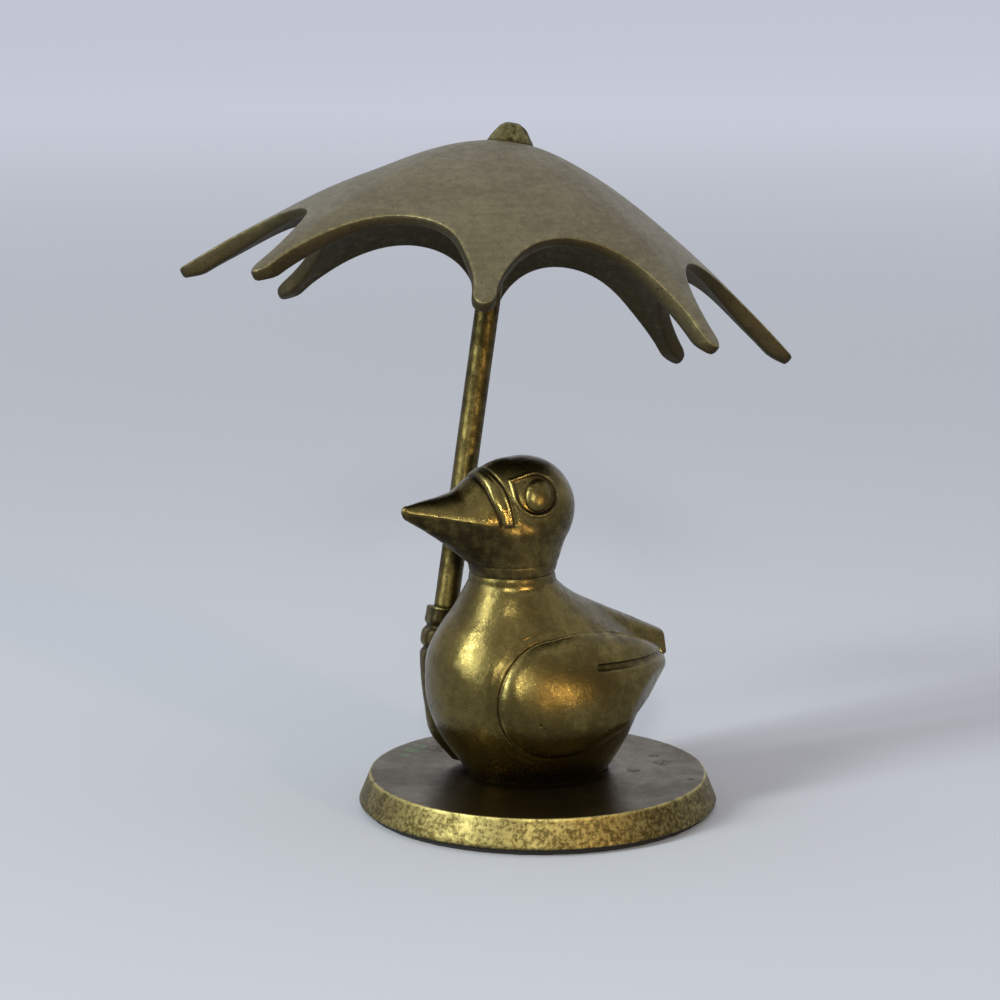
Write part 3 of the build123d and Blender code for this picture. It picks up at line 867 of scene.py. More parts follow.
def socket_ring(angle, start, rim):
    """A circle of the rod's socket, begun at the point nearest to the start and turned the way that the rim
    runs, so that the two can be joined point to point."""
    circle = np.cos(angle)[:, None] * ARM_ACROSS + np.sin(angle)[:, None] * ARM_ROUND
    hole = ROD_FOOT + SOCKET_RADIUS * circle + LEAN * 0.3
    nearest = np.argmin(np.linalg.norm(hole - start, axis=1))
    hole = np.roll(hole, -nearest, axis=0)
    same_way = np.cross(hole[1] - hole[0], hole[2] - hole[1]) @ np.cross(rim[1] - rim[0], rim[2] - rim[1]) > 0
    return hole if same_way else np.roll(hole[::-1], 1, axis=0)


def raised_wing_rings(rows, columns):
    """The raised wing as level rings of rounded rectangles on a curved spine, scalloped along its front edge,
    cut square to the rod at the top, and closed down into the rod's socket."""
    top = ROD_FOOT[2] - BASE_TOP
    bottom = RAISED_WING[0][0]
    share = np.linspace(0, 1, rows)
    height = bottom + (top - bottom) * (1 - (1 - share) ** 1.05)
    side, forwards, half, length, square = through(RAISED_WING, height)
    angle = np.linspace(0, TURN, columns, endpoint=False)
    cos, sin = np.cos(angle), np.sin(angle)
    exponent = 2 / square[:, None]
    across = np.sign(cos) * np.abs(cos) ** exponent * half[:, None]
    along = np.sign(sin) * np.abs(sin) ** exponent * length[:, None]
    notch = np.zeros_like(height)
    for level in FEATHER_TIP_HEIGHTS:
        notch = np.maximum(notch, FEATHER_NOTCH * bump(height - level, 0.6))
    notch = notch[:, None]
    along = along + ease(-sin * 1.6 - 0.2) * notch
    across = across * (1 - 0.1 * (notch / FEATHER_NOTCH) * ease(0.9 + 0.4 * -sin))
    x = -side[:, None] + across
    y = -forwards[:, None] + along
    z = np.broadcast_to(height[:, None], x.shape)
    tilt = (-(x - ROD_FOOT[0]) * LEAN[0] - (y - ROD_FOOT[1]) * LEAN[1]) / LEAN[2]
    z = z + tilt * ease((height[:, None] - WRIST_HEIGHT) / (top - WRIST_HEIGHT))
    points = np.stack([x, y, z + BASE_TOP], -1)
    foot = shrunk(points[0], points[0].mean(axis=0), (0.45, 0.8))
    foot = foot - np.array([0, 0, 0.9]) * np.array([1, 0.45])[:, None, None]
    rim = points[-1]
    rounding = shrunk(rim, ROD_FOOT, (0.965, 0.9)) + LEAN * np.array([0.22, 0.32])[:, None, None]
    hole = socket_ring(angle, rounding[-1][0], rim)
    plate = rounding[-1] + (hole - rounding[-1]) * np.array([0.35, 0.75, 0.95])[:, None, None]
    down = hole - LEAN * np.array([0.0, 0.3, 2.0, 5.0, SOCKET_DEPTH])[:, None, None]
    floor = shrunk(down[-1], down[-1].mean(axis=0), (0.5,))
    rings = np.concatenate([foot, points, rounding, plate, down, floor])
    hollow = np.zeros(rings.shape[:2])
    # Painted shade: the whole wing a little, its inner side facing the breast and its feather notches more, and
    # the socket's inside most
    painted_inner_shade = 0.3 + 0.7 * ease(cos / 0.35)
    hollow[len(foot) : len(foot) + rows] = np.maximum(notch / FEATHER_NOTCH * ease(0.8 - sin), painted_inner_shade)
    hollow[-len(plate) - len(down) - len(floor) :] = 0.9
    wear = np.zeros(rings.shape[:2])
    wear[rows : rows + 4] = 0.5
    return rings, wear, hollow


def revolve(profile, columns, relief=None):
    """A profile of (radius, height) pairs carried round the upright axis."""
    angle = np.linspace(0, TURN, columns, endpoint=False)
    radius, height = profile[:, 0][:, None], profile[:, 1][:, None]
    if relief is not None:
        radius = radius + relief(angle[None, :], height)
    x, y = radius * np.cos(angle), radius * np.sin(angle)
    return np.stack([x, y, np.broadcast_to(height, x.shape)], -1)


def on_rod(rings):
    """Takes points from the rod's own frame, with its foot at the origin, to the part's frame."""
    return ROD_FOOT + rings[..., :1] * ARM_ACROSS + rings[..., 1:2] * ARM_ROUND + rings[..., 2:] * LEAN


def run(*points):
    """A profile through corners, with its straight stretches divided so that no step is long."""
    bends = np.array(points, float)
    pieces = []
    for start, end in zip(bends[:-1], bends[1:]):
        count = max(2, int(np.linalg.norm(end - start) / LONGEST_STEP) + 1)
        pieces.append(start + (end - start) * np.linspace(0, 1, count, endpoint=False)[:, None])
    return np.concatenate(pieces + [bends[-1:]])


def arc(centre, radius, start, end, count=7):
    """Points of a circular arc between two angles in degrees."""
    angle = np.radians(np.linspace(start, end, count))
    return list(zip(centre[0] + radius * np.cos(angle), centre[1] + radius * np.sin(angle)))


def dome_drop(reach):
    """How far the dome has fallen at a reach from its axis: a hyperbola that starts level and straightens
    out."""
    return DOME_STEEPNESS * (np.sqrt(reach**2 + DOME_CROWN_RADIUS**2) - DOME_CROWN_RADIUS)


def panel_scale(angle):
    """Share of the ridge's reach at an angle round the dome: 1 on the ridges, whose crease is softened a
    little, and least in the middle of a panel."""
    from_middle = np.abs((angle % SECTOR) / SECTOR - 0.5) * 2
    softened = 1 - np.hypot(1 - from_middle, RIDGE_SOFTNESS) + RIDGE_SOFTNESS
    return PANEL_SHARE + (1 - PANEL_SHARE) * np.clip(softened, 0, 1) ** 2


def droop(x, y):
    """Extra fall of each arm beyond the dome, which grows from the arches to the arm's end, and a slight
    hollow and swell that make the ridges straighter than the hyperbola."""
    reach = np.hypot(x, y)
    turn = (np.arctan2(y, x) / TURN * ARMS) % ARMS
    low = np.floor(turn).astype(int) % ARMS
    share = ease(turn - np.floor(turn))
    droops = np.array(ARM_DROOPS)
    amount = droops[low] * (1 - share) + droops[(low + 1) % ARMS] * share
    straighter = 0.3 * bump(reach - 22, 11) - 0.35 * bump(reach - 50, 13)
    return amount * np.clip((reach - 30) / 34, 0, None) ** 1.6 + straighter


def dome_height(x, y):
    """Height of the dome's outer face above its crown, along the umbrella's axis."""
    reach = np.hypot(x, y)
    return dome_drop(CROWN_RADIUS) - dome_drop(reach / panel_scale(np.arctan2(y, x))) - droop(x, y)


def half_arch(top, count):
    """One side of an arch in plan, from its top to the end of the arm beside it: an ellipse that stands
    square to the dome at the arch's top, carried on to the dome, and half an oval round the arm's end."""
    ridge = top / PANEL_SHARE
    slope = DOME_STEEPNESS * ridge / np.hypot(ridge, DOME_CROWN_RADIUS)
    stretch = np.hypot(1, slope)
    turn = np.linspace(0, 1.75, 400)
    out, across = ARCH_DEPTH * (1 - np.cos(turn)), ARCH_HALF_WIDTH * np.sin(turn)
    x, z = top + out / stretch, -dome_drop(ridge) - out * slope / stretch
    carried = np.zeros_like(x)
    for _ in range(30):
        on_x, on_z = x + carried * slope / stretch, z + carried / stretch
        scale = panel_scale(np.arctan2(across, on_x) + SECTOR / 2)
        carried = carried - 0.6 * (on_z + dome_drop(np.hypot(on_x, across) / scale))
    on_x = x + carried * slope / stretch
    cos, sin = np.cos(SECTOR / 2), np.sin(SECTOR / 2)
    along, beside = on_x * cos + across * sin, on_x * sin - across * cos
    kept = along < ARM_END_START
    along, beside = along[kept], np.maximum(beside[kept], ARM_HALF_WIDTH)
    quarter = np.linspace(0, np.pi / 2, 30)[1:]
    end_along = along[-1] + (ARM_REACH - along[-1]) * np.sin(quarter)
    end_beside = beside[-1] * np.cos(quarter)
    line = np.stack([np.concatenate([along, end_along]), np.concatenate([beside, end_beside])], -1)
    return even(line, count)


def canopy_outline(half_count):
    """The canopy's outline in plan: for each arm, the arch side before it, its rounded end and the arch side
    after it. Each arm is turned a little and widened between its root and its end."""
    lines = []
    for arm in range(ARMS):
        before = half_arch(ARCH_TOPS[arm - 1], half_count) * np.array([1, -1])
        after = half_arch(ARCH_TOPS[arm], half_count)
        line = np.concatenate([before[:-1], after[::-1][:-1]])
        along, beside = line[:, 0], line[:, 1]
        far = ease((along - 41) / 11)
        end = np.clip((along - ARM_END_START) / (ARM_REACH - ARM_END_START), 0, 1)
        slimmer = 1 - 0.7 * ease((along - 51) / 9)
        wider = ARM_EXTRA_WIDTHS[arm] * far * np.sqrt(np.clip(1 - end**2, 0, 1)) * slimmer
        beside = beside + np.sign(beside) * wider
        turn = arm * SECTOR + ARM_TURNS[arm] * far
        x = along * np.cos(turn) - beside * np.sin(turn)
        y = along * np.sin(turn) + beside * np.cos(turn)
        lines.append(np.stack([x, y], -1))
    return np.concatenate(lines)


def dome_normal(plan):
    """Unit vectors square to the dome's outer face, from its slopes over a short gap each way."""
    gap = 0.05
    x, y = plan[..., 0], plan[..., 1]
    slope_x = (dome_height(x + gap, y) - dome_height(x - gap, y)) / (2 * gap)
    slope_y = (dome_height(x, y + gap) - dome_height(x, y - gap)) / (2 * gap)
    normal = np.stack([-slope_x, -slope_y, np.ones_like(x)], -1)
    return normal / np.linalg.norm(normal, axis=-1, keepdims=True)


def canopy_wall(plan, sizes):
    """The canopy's thickness: the dome's, growing to the arms', and thinner again at their ends."""
    reach = np.linalg.norm(plan, axis=-1)
    thick = sizes.shell_wall / MM + (sizes.arm_wall - sizes.shell_wall) / MM * ease((reach - 40) / 16)
    return thick * (1 - 0.35 * ease((reach - 60) / 4))


def canopy_rings(half_count, rows, sizes):
    """The canopy as rings from the hole at its crown over the outer face, round the edge of the arches and
    arms and back under the dome to the hub and the hole. The edge is a half round, squared a little."""
    outline = canopy_outline(half_count)
    step = np.roll(outline, -1, axis=0) - np.roll(outline, 1, axis=0)
    outwards = np.stack([step[:, 1], -step[:, 0]], -1)
    outwards /= np.linalg.norm(outwards, axis=1, keepdims=True)
    outwards *= np.sign((outwards * outline).sum())
    edge = sizes.edge_round / MM
    rim = outline - outwards * edge
    start = SOCKET_RADIUS + 0.05
    reach = np.linalg.norm(rim, axis=1)
    share = np.linspace(0, 1, rows) ** 0.9
    radius = start + (reach - start) * share[:, None]
    plan = rim / reach[:, None] * radius[..., None]
    square = dome_normal(plan)
    top_face = np.concatenate([plan, dome_height(plan[..., 0], plan[..., 1])[..., None]], -1)
    waves = wobble(top_face, 26.0, 5) * sizes.unevenness / MM
    top_face = top_face + square * (waves * ease((radius - 8) / 10))[..., None]
    under_face = top_face - square * canopy_wall(plan, sizes)[..., None]
    middle, half = (top_face[-1] + under_face[-1]) / 2, (top_face[-1] - under_face[-1]) / 2
    across = np.concatenate([outwards, np.zeros((len(outwards), 1))], -1)
    square = dome_normal(rim)
    across = across - square * (across * square).sum(-1, keepdims=True)
    across /= np.linalg.norm(across, axis=-1, keepdims=True)
    angle = np.linspace(np.pi / 2, -np.pi / 2, 13)[1:-1, None, None]
    cos = np.abs(np.cos(angle)) ** 0.75
    sin = np.sign(np.sin(angle)) * np.abs(np.sin(angle)) ** 0.75
    edge_rings = middle + across * edge * cos + half * sin
    under = under_face[::-1]
    hub = ease((HUB_RADIUS + 1.3 - radius[::-1]) / 1.3)[..., None]
    seated = under.copy()
    seated[..., 2] = ROD_LENGTH - CROWN_TOP
    under = under + (seated - under) * hub
    rings = np.concatenate([top_face, edge_rings, under])
    wear = np.zeros(rings.shape[:2])
    wear[rows - 2 : rows + 3] = np.array([0.1, 0.3, 0.4, 0.3, 0.1])[:, None]
    wear[rows + 9 : rows + 12] = 0.12
    # Painted shade on the sides of the arms' edges and under the dome
    hollow = np.zeros(rings.shape[:2])
    hollow[rows + 2 : rows + 11] = 0.95
    hollow[rows + 11 :] = 0.85
    return on_rod(rings + np.array([0, 0, CROWN_TOP])), wear, hollow


def threaded(angle, height):
    """Radius to add along the rod's foot stud for its thread: a right-hand V-shaped groove, with a plain
    lead-in."""
    phase = (height / THREAD_PITCH - angle / TURN) % 1
    cut = -THREAD_DEPTH * np.abs(2 * phase - 1)
    on_stud = ease((-0.5 - height) / 0.3) * ease((height + FOOT_STUD_LENGTH) / 0.5)
    return cut * on_stud


def rod_rings():
    """The rod: a threaded foot stud, a plain bar and a plain top stud that the canopy and the finial fit."""
    top = ROD_LENGTH + TOP_STUD_LENGTH
    core = STUD_RADIUS - STUD_CHAMFER
    shoulder = ROD_RADIUS - ROD_CHAMFER
    start = run((0.4, -FOOT_STUD_LENGTH), (core, -FOOT_STUD_LENGTH))
    height = np.linspace(-FOOT_STUD_LENGTH, -0.02, 110)
    lead_in = np.minimum(STUD_RADIUS, STUD_RADIUS - 0.35 + (height + FOOT_STUD_LENGTH))
    stud = np.stack([lead_in, height], -1)
    bar = run(
        (STUD_RADIUS, 0),
        (shoulder, 0),
        (ROD_RADIUS, ROD_CHAMFER),
        (ROD_RADIUS, ROD_LENGTH - ROD_CHAMFER),
    )
    head = run(
        (shoulder, ROD_LENGTH),
        (STUD_RADIUS, ROD_LENGTH),
        (STUD_RADIUS, top - STUD_CHAMFER),
        (core, top),
        (0.4, top),
    )
    return revolve(np.concatenate([start, stud, bar, head]), 96, threaded)


def finial_rings():
    """The finial: a low rough dome on a short flared foot, with a blind hole for the rod's stud."""
    hole = ROD_LENGTH + TOP_STUD_LENGTH + 0.05
    t = np.linspace(0, 1, 40)
    flare = 1 - 0.16 * ease((t - 0.05) / 0.5) + 0.05 * bump(t - 0.02, 0.06)
    radius = FINIAL_RADIUS * (1 - t**2.6) ** 0.5 * flare
    outside = np.stack([np.maximum(radius, 0.25), CROWN_TOP + FINIAL_HEIGHT * t], -1)
    inside = run(
        (0.25, hole),
        (SOCKET_RADIUS, hole),
        (SOCKET_RADIUS, CROWN_TOP - 0.1),
        (FINIAL_RADIUS * 0.93, CROWN_TOP - 0.25),
    )
    return revolve(np.concatenate([inside, outside]), 128)


def base_profile(sizes):
    """Section of the base from the recess below, out along the bottom, up the flared side and in over the
    top."""
    bend = sizes.edge_round / MM
    bottom, top = BASE_LOW[2], BASE_HIGH[2]
    radius = BASE_HIGH[0] + BASE_CORNER_ALLOWANCE
    lip = radius - sizes.top_inset / MM
    recess_top = bottom + SCREW_RECESS_DEPTH
    low_edge = arc((radius - bend, bottom + bend), bend, -90, 0)
    high_edge = arc((lip - bend, top - bend), bend, 12, 90)
    return run(
        (SCREW_HOLE_RADIUS, top - 0.3),
        (SCREW_HOLE_RADIUS, recess_top),
        (SCREW_RECESS_RADIUS, recess_top),
        (SCREW_RECESS_RADIUS, bottom),
        *low_edge,
        *high_edge,
        (SCREW_HOLE_RADIUS + 0.3, top),
    )


def pad_rings(sizes):
    """The felt pad: a flat disc with soft uneven edges."""
    low, high, radius = PAD_LOW[2], PAD_HIGH[2], PAD_HIGH[0]
    bend = sizes.pad_round / MM
    below = arc((radius - bend, low + bend), bend, -90, 0)
    above = arc((radius - bend, high - bend), bend, 0, 90)
    rings = revolve(run((0.5, low), *below, *above, (0.5, high)), 720)
    reach = np.linalg.norm(rings[..., :2], axis=-1, keepdims=True)
    fray = (wobble(rings, 2.4, 11) * 0.10 + wobble(rings, 0.9, 12) * 0.05)[..., None]
    out = rings * np.array([1, 1, 0]) / np.maximum(reach, 1e-6)
    return rings + out * (fray - 0.12) * ease((reach - radius + 1.0) / 0.8)


class Tree:
    """A material's or a group's node tree, with short calls that add and join nodes."""

    def __init__(self, tree):
        self.tree = tree

    def add(self, kind, settings=None, **inputs):
        """A new node, with its settings made and its named inputs fed."""
        node = self.tree.nodes.new(kind)
        for key, value in (settings or {}).items():
            setattr(node, key, value)
        for key, value in inputs.items():
            self.feed(node.inputs[key.replace("_", " ")], value)
        return node

    def feed(self, socket, value):
        """Links a socket to another one, or sets its value."""
        if isinstance(value, bpy.types.NodeSocket):
            self.tree.links.new(value, socket)
        else:
            socket.default_value = value

    def math(self, operation, *values):
        """The result of a math node."""
        node = self.add("ShaderNodeMath", {"operation": operation})
        for socket, value in zip(node.inputs, values):
            self.feed(socket, value)
        return node.outputs[0]

    def plus(self, a, b):
        return self.math("ADD", a, b)

    def minus(self, a, b):
        return self.math("SUBTRACT", a, b)

    def times(self, a, b):
        return self.math("MULTIPLY", a, b)

    def vector(self, operation, *values):
        """The result of a vector math node."""
        node = self.add("ShaderNodeVectorMath", {"operation": operation})
        for socket, value in zip(node.inputs, values):
            self.feed(socket, value)
        return node.outputs["Value" if operation == "LENGTH" else "Vector"]

    def mix(self, factor, a, b):
        """A colour between two others."""
        node = self.tree.nodes.new("ShaderNodeMix")
        node.data_type = "RGBA"
        self.feed(node.inputs[0], factor)
        for socket, value in ((node.inputs[6], a), (node.inputs[7], b)):
            if not isinstance(value, bpy.types.NodeSocket):
                value = (*value, 1.0)
            self.feed(socket, value)
        return node.outputs[2]

    def noise(self, vector, scale, detail=4.0, roughness=0.55):
        """The value of a noise."""
        node = self.add("ShaderNodeTexNoise", Vector=vector, Scale=scale, Detail=detail, Roughness=roughness)
        return node.outputs[0]

    def span(self, value, low, high, to_low=0.0, to_high=1.0):
        """A value carried smoothly from one span to another, and held at its ends."""
        node = self.add("ShaderNodeMapRange", {"interpolation_type": "SMOOTHSTEP"})
        for socket, number in zip(node.inputs, (value, low, high, to_low, to_high)):
            self.feed(socket, number)
        return node.outputs[0]

    def stretched(self, vector, scale, turn=(0, 0, 0)):
        """Coordinates turned and scaled, for a pattern that runs one way."""
        return self.add("ShaderNodeMapping", Vector=vector, Rotation=turn, Scale=scale).outputs[0]

    def attribute(self, name):
        """A value stored at the surface's points."""
        return self.add("ShaderNodeAttribute", {"attribute_name": name}).outputs["Fac"]

    def relief(self, shader, height, distance):
        """Feeds a shader's normal from a height in metres times the distance."""
        node = self.add("ShaderNodeBump", Strength=1.0, Distance=distance, Height=height)
        self.feed(shader.inputs["Normal"], node.outputs[0])


def group(name, inputs, outputs):
    """A new shader node group with named inputs and outputs, and the socket handles inside it."""
    tree = bpy.data.node_groups.new(name, "ShaderNodeTree")
    for label, kind, default in inputs:
        socket = tree.interface.new_socket(name=label, in_out="INPUT", socket_type=kind)
        if default is not None:
            socket.default_value = default
    for label, kind in outputs:
        tree.interface.new_socket(name=label, in_out="OUTPUT", socket_type=kind)
    build = Tree(tree)
    return tree, build, build.add("NodeGroupInput").outputs, build.add("NodeGroupOutput").inputs


def patina_group():
    """Cloudy ageing: broad patches, finer mottling and dark specks, from noises at three sizes."""
    tree, build, given, gives = group(
        "Brass ageing",
        (("Vector", "NodeSocketVector", None), ("Scale", "NodeSocketFloat", 60.0)),
        (("Patches", "NodeSocketFloat"), ("Mottle", "NodeSocketFloat"), ("Specks", "NodeSocketFloat")),
    )
    vector, scale = given["Vector"], given["Scale"]
    broad = build.noise(vector, scale, 5.0, 0.6)
    build.feed(gives["Patches"], build.span(broad, 0.36, 0.66))
    fine = build.noise(vector, build.times(scale, 7.0), 6.0, 0.7)
    build.feed(gives["Mottle"], build.span(fine, 0.3, 0.72))
    finest = build.times(scale, 11.0)
    cells = build.add("ShaderNodeTexVoronoi", {"feature": "F1"}, Vector=vector, Scale=finest).outputs[0]
    chance = build.noise(vector, build.times(scale, 3.1), 2.0)
    size = build.span(chance, 0.5, 0.78, 0.0, 0.32)
    build.feed(gives["Specks"], build.span(build.minus(size, cells), 0.0, 0.09))
    return tree


def rubbing_group():
    """Where the metal is rubbed bright, and where patina and painted shade darken it, from the values stored at
    the surface's points.
    """
    tree, build, given, gives = group(
        "Rubbed and hollow",
        (
            ("Wear", "NodeSocketFloat", 0.0),
            ("Hollow", "NodeSocketFloat", 0.0),
            ("Mottle", "NodeSocketFloat", 0.5),
        ),
        (("Rubbed", "NodeSocketFloat"), ("Dark", "NodeSocketFloat")),
    )
    uneven = build.span(given["Mottle"], 0.0, 1.0, 0.45, 1.25)
    build.feed(gives["Rubbed"], build.span(build.times(given["Wear"], uneven), 0.15, 0.85))
    shade = build.span(given["Mottle"], 0.0, 1.0, 1.2, 0.75)
    build.feed(gives["Dark"], build.span(build.times(given["Hollow"], shade), 0.1, 0.8))
    return tree


def streaks_group():
    """Fine streaks along one direction, from noise squeezed across it."""
    tree, build, given, gives = group(
        "Fine streaks",
        (("Vector", "NodeSocketVector", None), ("Scale", "NodeSocketFloat", 900.0)),
        (("Streaks", "NodeSocketFloat"),),
    )
    first = build.noise(given["Vector"], given["Scale"], 3.0, 0.6)
    second = build.noise(given["Vector"], build.times(given["Scale"], 0.23), 2.0, 0.5)
    build.feed(gives["Streaks"], build.plus(build.times(first, 0.6), build.times(second, 0.4)))
    return tree


SHARED_GROUPS = {
    "Brass ageing": patina_group,
    "Rubbed and hollow": rubbing_group,
    "Fine streaks": streaks_group,
}


def placed(build, name, **inputs):
    """Places a shared node group in a material, with its inputs fed. It is made when first asked for."""
    node = build.tree.nodes.new("ShaderNodeGroup")
    node.node_tree = bpy.data.node_groups.get(name) or SHARED_GROUPS[name]()
    for key, value in inputs.items():
        build.feed(node.inputs[key], value)
    return node.outputs


def rubbing_of(build, ageing):
    """The rubbing group, fed with the values stored at the surface's points and with the ageing's
    mottling."""
    return placed(
        build,
        "Rubbed and hollow",
        Wear=build.attribute("wear"),
        Hollow=build.attribute("hollow"),
        Mottle=ageing["Mottle"],
    )


def blank_material(name):
    """An empty material, its node calls, its Principled shader and Object coordinates."""
    material = bpy.data.materials.new(name)
    material.use_nodes = True
    tree = material.node_tree
    tree.nodes.clear()
    build = Tree(tree)
    shader = build.add("ShaderNodeBsdfPrincipled")
    output = build.add("ShaderNodeOutputMaterial")
    tree.links.new(shader.outputs[0], output.inputs[0])
    coordinates = build.add("ShaderNodeTexCoord").outputs["Object"]
    return material, build, shader, coordinates


GRAIN_SCALE = 3600.0


def brass(name, base, look):
    """An aged brass: one base colour with brighter and darker patches, dark patina and painted shade in
    hollows, creases and shaded sides, rubbed edges, fine streaks and a slightly pitted skin. The look holds
    the shares that differ from piece to piece."""
    colours = bpy.context.scene.brass_colours
    material, build, shader, coordinates = blank_material(name)
    ageing = placed(build, "Brass ageing", Vector=coordinates, Scale=look["scale"])
    rubbing = rubbing_of(build, ageing)
    lined = build.stretched(coordinates, look["streak_shape"], look["streak_turn"])
    streaks = placed(build, "Fine streaks", Vector=lined, Scale=look["streak_scale"])["Streaks"]
    lighter = [min(1.0, c * look["lighter"]) for c in base]
    darker = [c * look["darker"] for c in base]
    patches = build.times(build.minus(ageing["Patches"], 0.5), look["patches"])
    mottle = build.times(ageing["Mottle"], look["mottle"])
    tone = build.plus(build.plus(patches, 0.5 - look["mottle"] / 2), mottle)
    tone = build.plus(tone, build.times(build.minus(streaks, 0.5), look["streak_tone"]))
    grain = build.noise(coordinates, GRAIN_SCALE, 3.0, 0.65)
    tone = build.plus(tone, build.times(build.minus(grain, 0.5), look["grain"]))
    paint = build.mix(build.span(tone, 0.1, 0.95), darker, lighter)
    paint = build.mix(build.times(ageing["Specks"], look["specks"]), paint, tuple(colours.dark))
    # Painted shade and patina: hollows, creases, undersides and sides turned from the lamps are darkened by the
    # values stored at the points
    paint = build.mix(build.times(rubbing["Dark"], look["dark"]), paint, tuple(colours.dark))
    paint = build.mix(build.times(rubbing["Rubbed"], look["rubbed"]), paint, tuple(colours.bright))
    build.feed(shader.inputs["Base Color"], paint)
    shader.inputs["Metallic"].default_value = look["metallic"]
    shader.inputs["IOR"].default_value = 1.5
    smooth, matt = look["rough"]
    rough = build.span(tone, 0.0, 1.0, matt, smooth)
    rough = build.plus(rough, build.times(rubbing["Dark"], 0.2))
    rough = build.minus(rough, build.times(rubbing["Rubbed"], 0.12))
    build.feed(shader.inputs["Roughness"], rough)
    height = build.times(streaks, look["streak_bump"])
    height = build.plus(height, build.times(ageing["Mottle"], look["skin_bump"]))
    height = build.minus(height, build.times(ageing["Specks"], look["pit_bump"]))
    height = build.plus(height, build.times(grain, look["grain_bump"]))
    build.relief(shader, height, look["bump_distance"])
    return material


# Scales are waves in a metre, shapes squeeze the streaks along each axis, rough runs from smooth to matt, and
# the others are shares
CASTING_LOOK = {
    "scale": 55.0,
    "streak_shape": (0.25, 0.25, 1.0),
    "streak_turn": (0.25, 0.1, 0.0),
    "streak_scale": 1500.0,
    "streak_tone": 0.5,
    "patches": 0.5,
    "mottle": 0.5,
    "grain": 1.0,
    "grain_bump": 0.3,
    "lighter": 1.4,
    "darker": 0.66,
    "specks": 0.5,
    "dark": 0.92,
    "rubbed": 0.8,
    "metallic": 1.0,
    "rough": (0.22, 0.36),
    "streak_bump": 0.25,
    "skin_bump": 0.5,
    "pit_bump": 0.8,
    "bump_distance": 0.00006,
}


def look(**changes):
    """The casting's look with some of its values changed."""
    return {**CASTING_LOOK, **changes}


def casting_brass():
    """The duck's skin: filed and handled, semi-gloss."""
    return brass("Aged cast brass", tuple(bpy.context.scene.brass_colours.aged), CASTING_LOOK)


def canopy_brass():
    """The umbrella's skin: matt, brushed across, with dark spots."""
    shape = look(
        scale=82.0,
        streak_shape=(0.12, 0.12, 1.0),
        streak_scale=1800.0,
        streak_tone=0.9,
        patches=0.2,
        mottle=0.35,
        grain=1.5,
        lighter=1.26,
        darker=0.74,
        specks=0.9,
        rough=(0.38, 0.5),
        rubbed=0.6,
        dark=0.8,
        streak_bump=0.6,
        bump_distance=0.00008,
    )
    return brass("Matt canopy brass", tuple(bpy.context.scene.brass_colours.canopy), shape)


def rod_brass():
    """The rod: drawn bar with streaks along it."""
    shape = look(
        scale=90.0,
        streak_shape=(1.0, 1.0, 0.06),
        streak_turn=(0.2022, 0.0847, 0.0),
        streak_scale=1400.0,
        streak_tone=0.9,
        rough=(0.36, 0.52),
        darker=0.25,
        lighter=0.85,
    )
    return brass("Drawn brass bar", tuple(bpy.context.scene.brass_colours.aged), shape)


def spots(build, coordinates, places):
    """Ragged round spots: 1 within each radius of its place, measured on points that noise pushes about."""
    noise = build.add("ShaderNodeTexNoise", Vector=coordinates, Scale=520.0, Detail=7.0, Roughness=0.75)
    push = build.vector("SUBTRACT", noise.outputs["Color"], (0.5, 0.5, 0.5))
    total = 0.0
    for (x, y), radius in places:
        offset = build.vector("SUBTRACT", coordinates, (x * MM, y * MM, BASE_TOP * MM))
        moved = build.vector("MULTIPLY_ADD", push, (3.4 * radius * MM,) * 3, offset)
        spot = build.span(build.vector("LENGTH", moved), radius * 1.5 * MM, radius * 0.8 * MM)
        total = build.math("MAXIMUM", total, spot)
    crumbs = build.span(build.noise(coordinates, 1300.0, 5.0, 0.7), 0.40, 0.56)
    return build.times(total, crumbs)


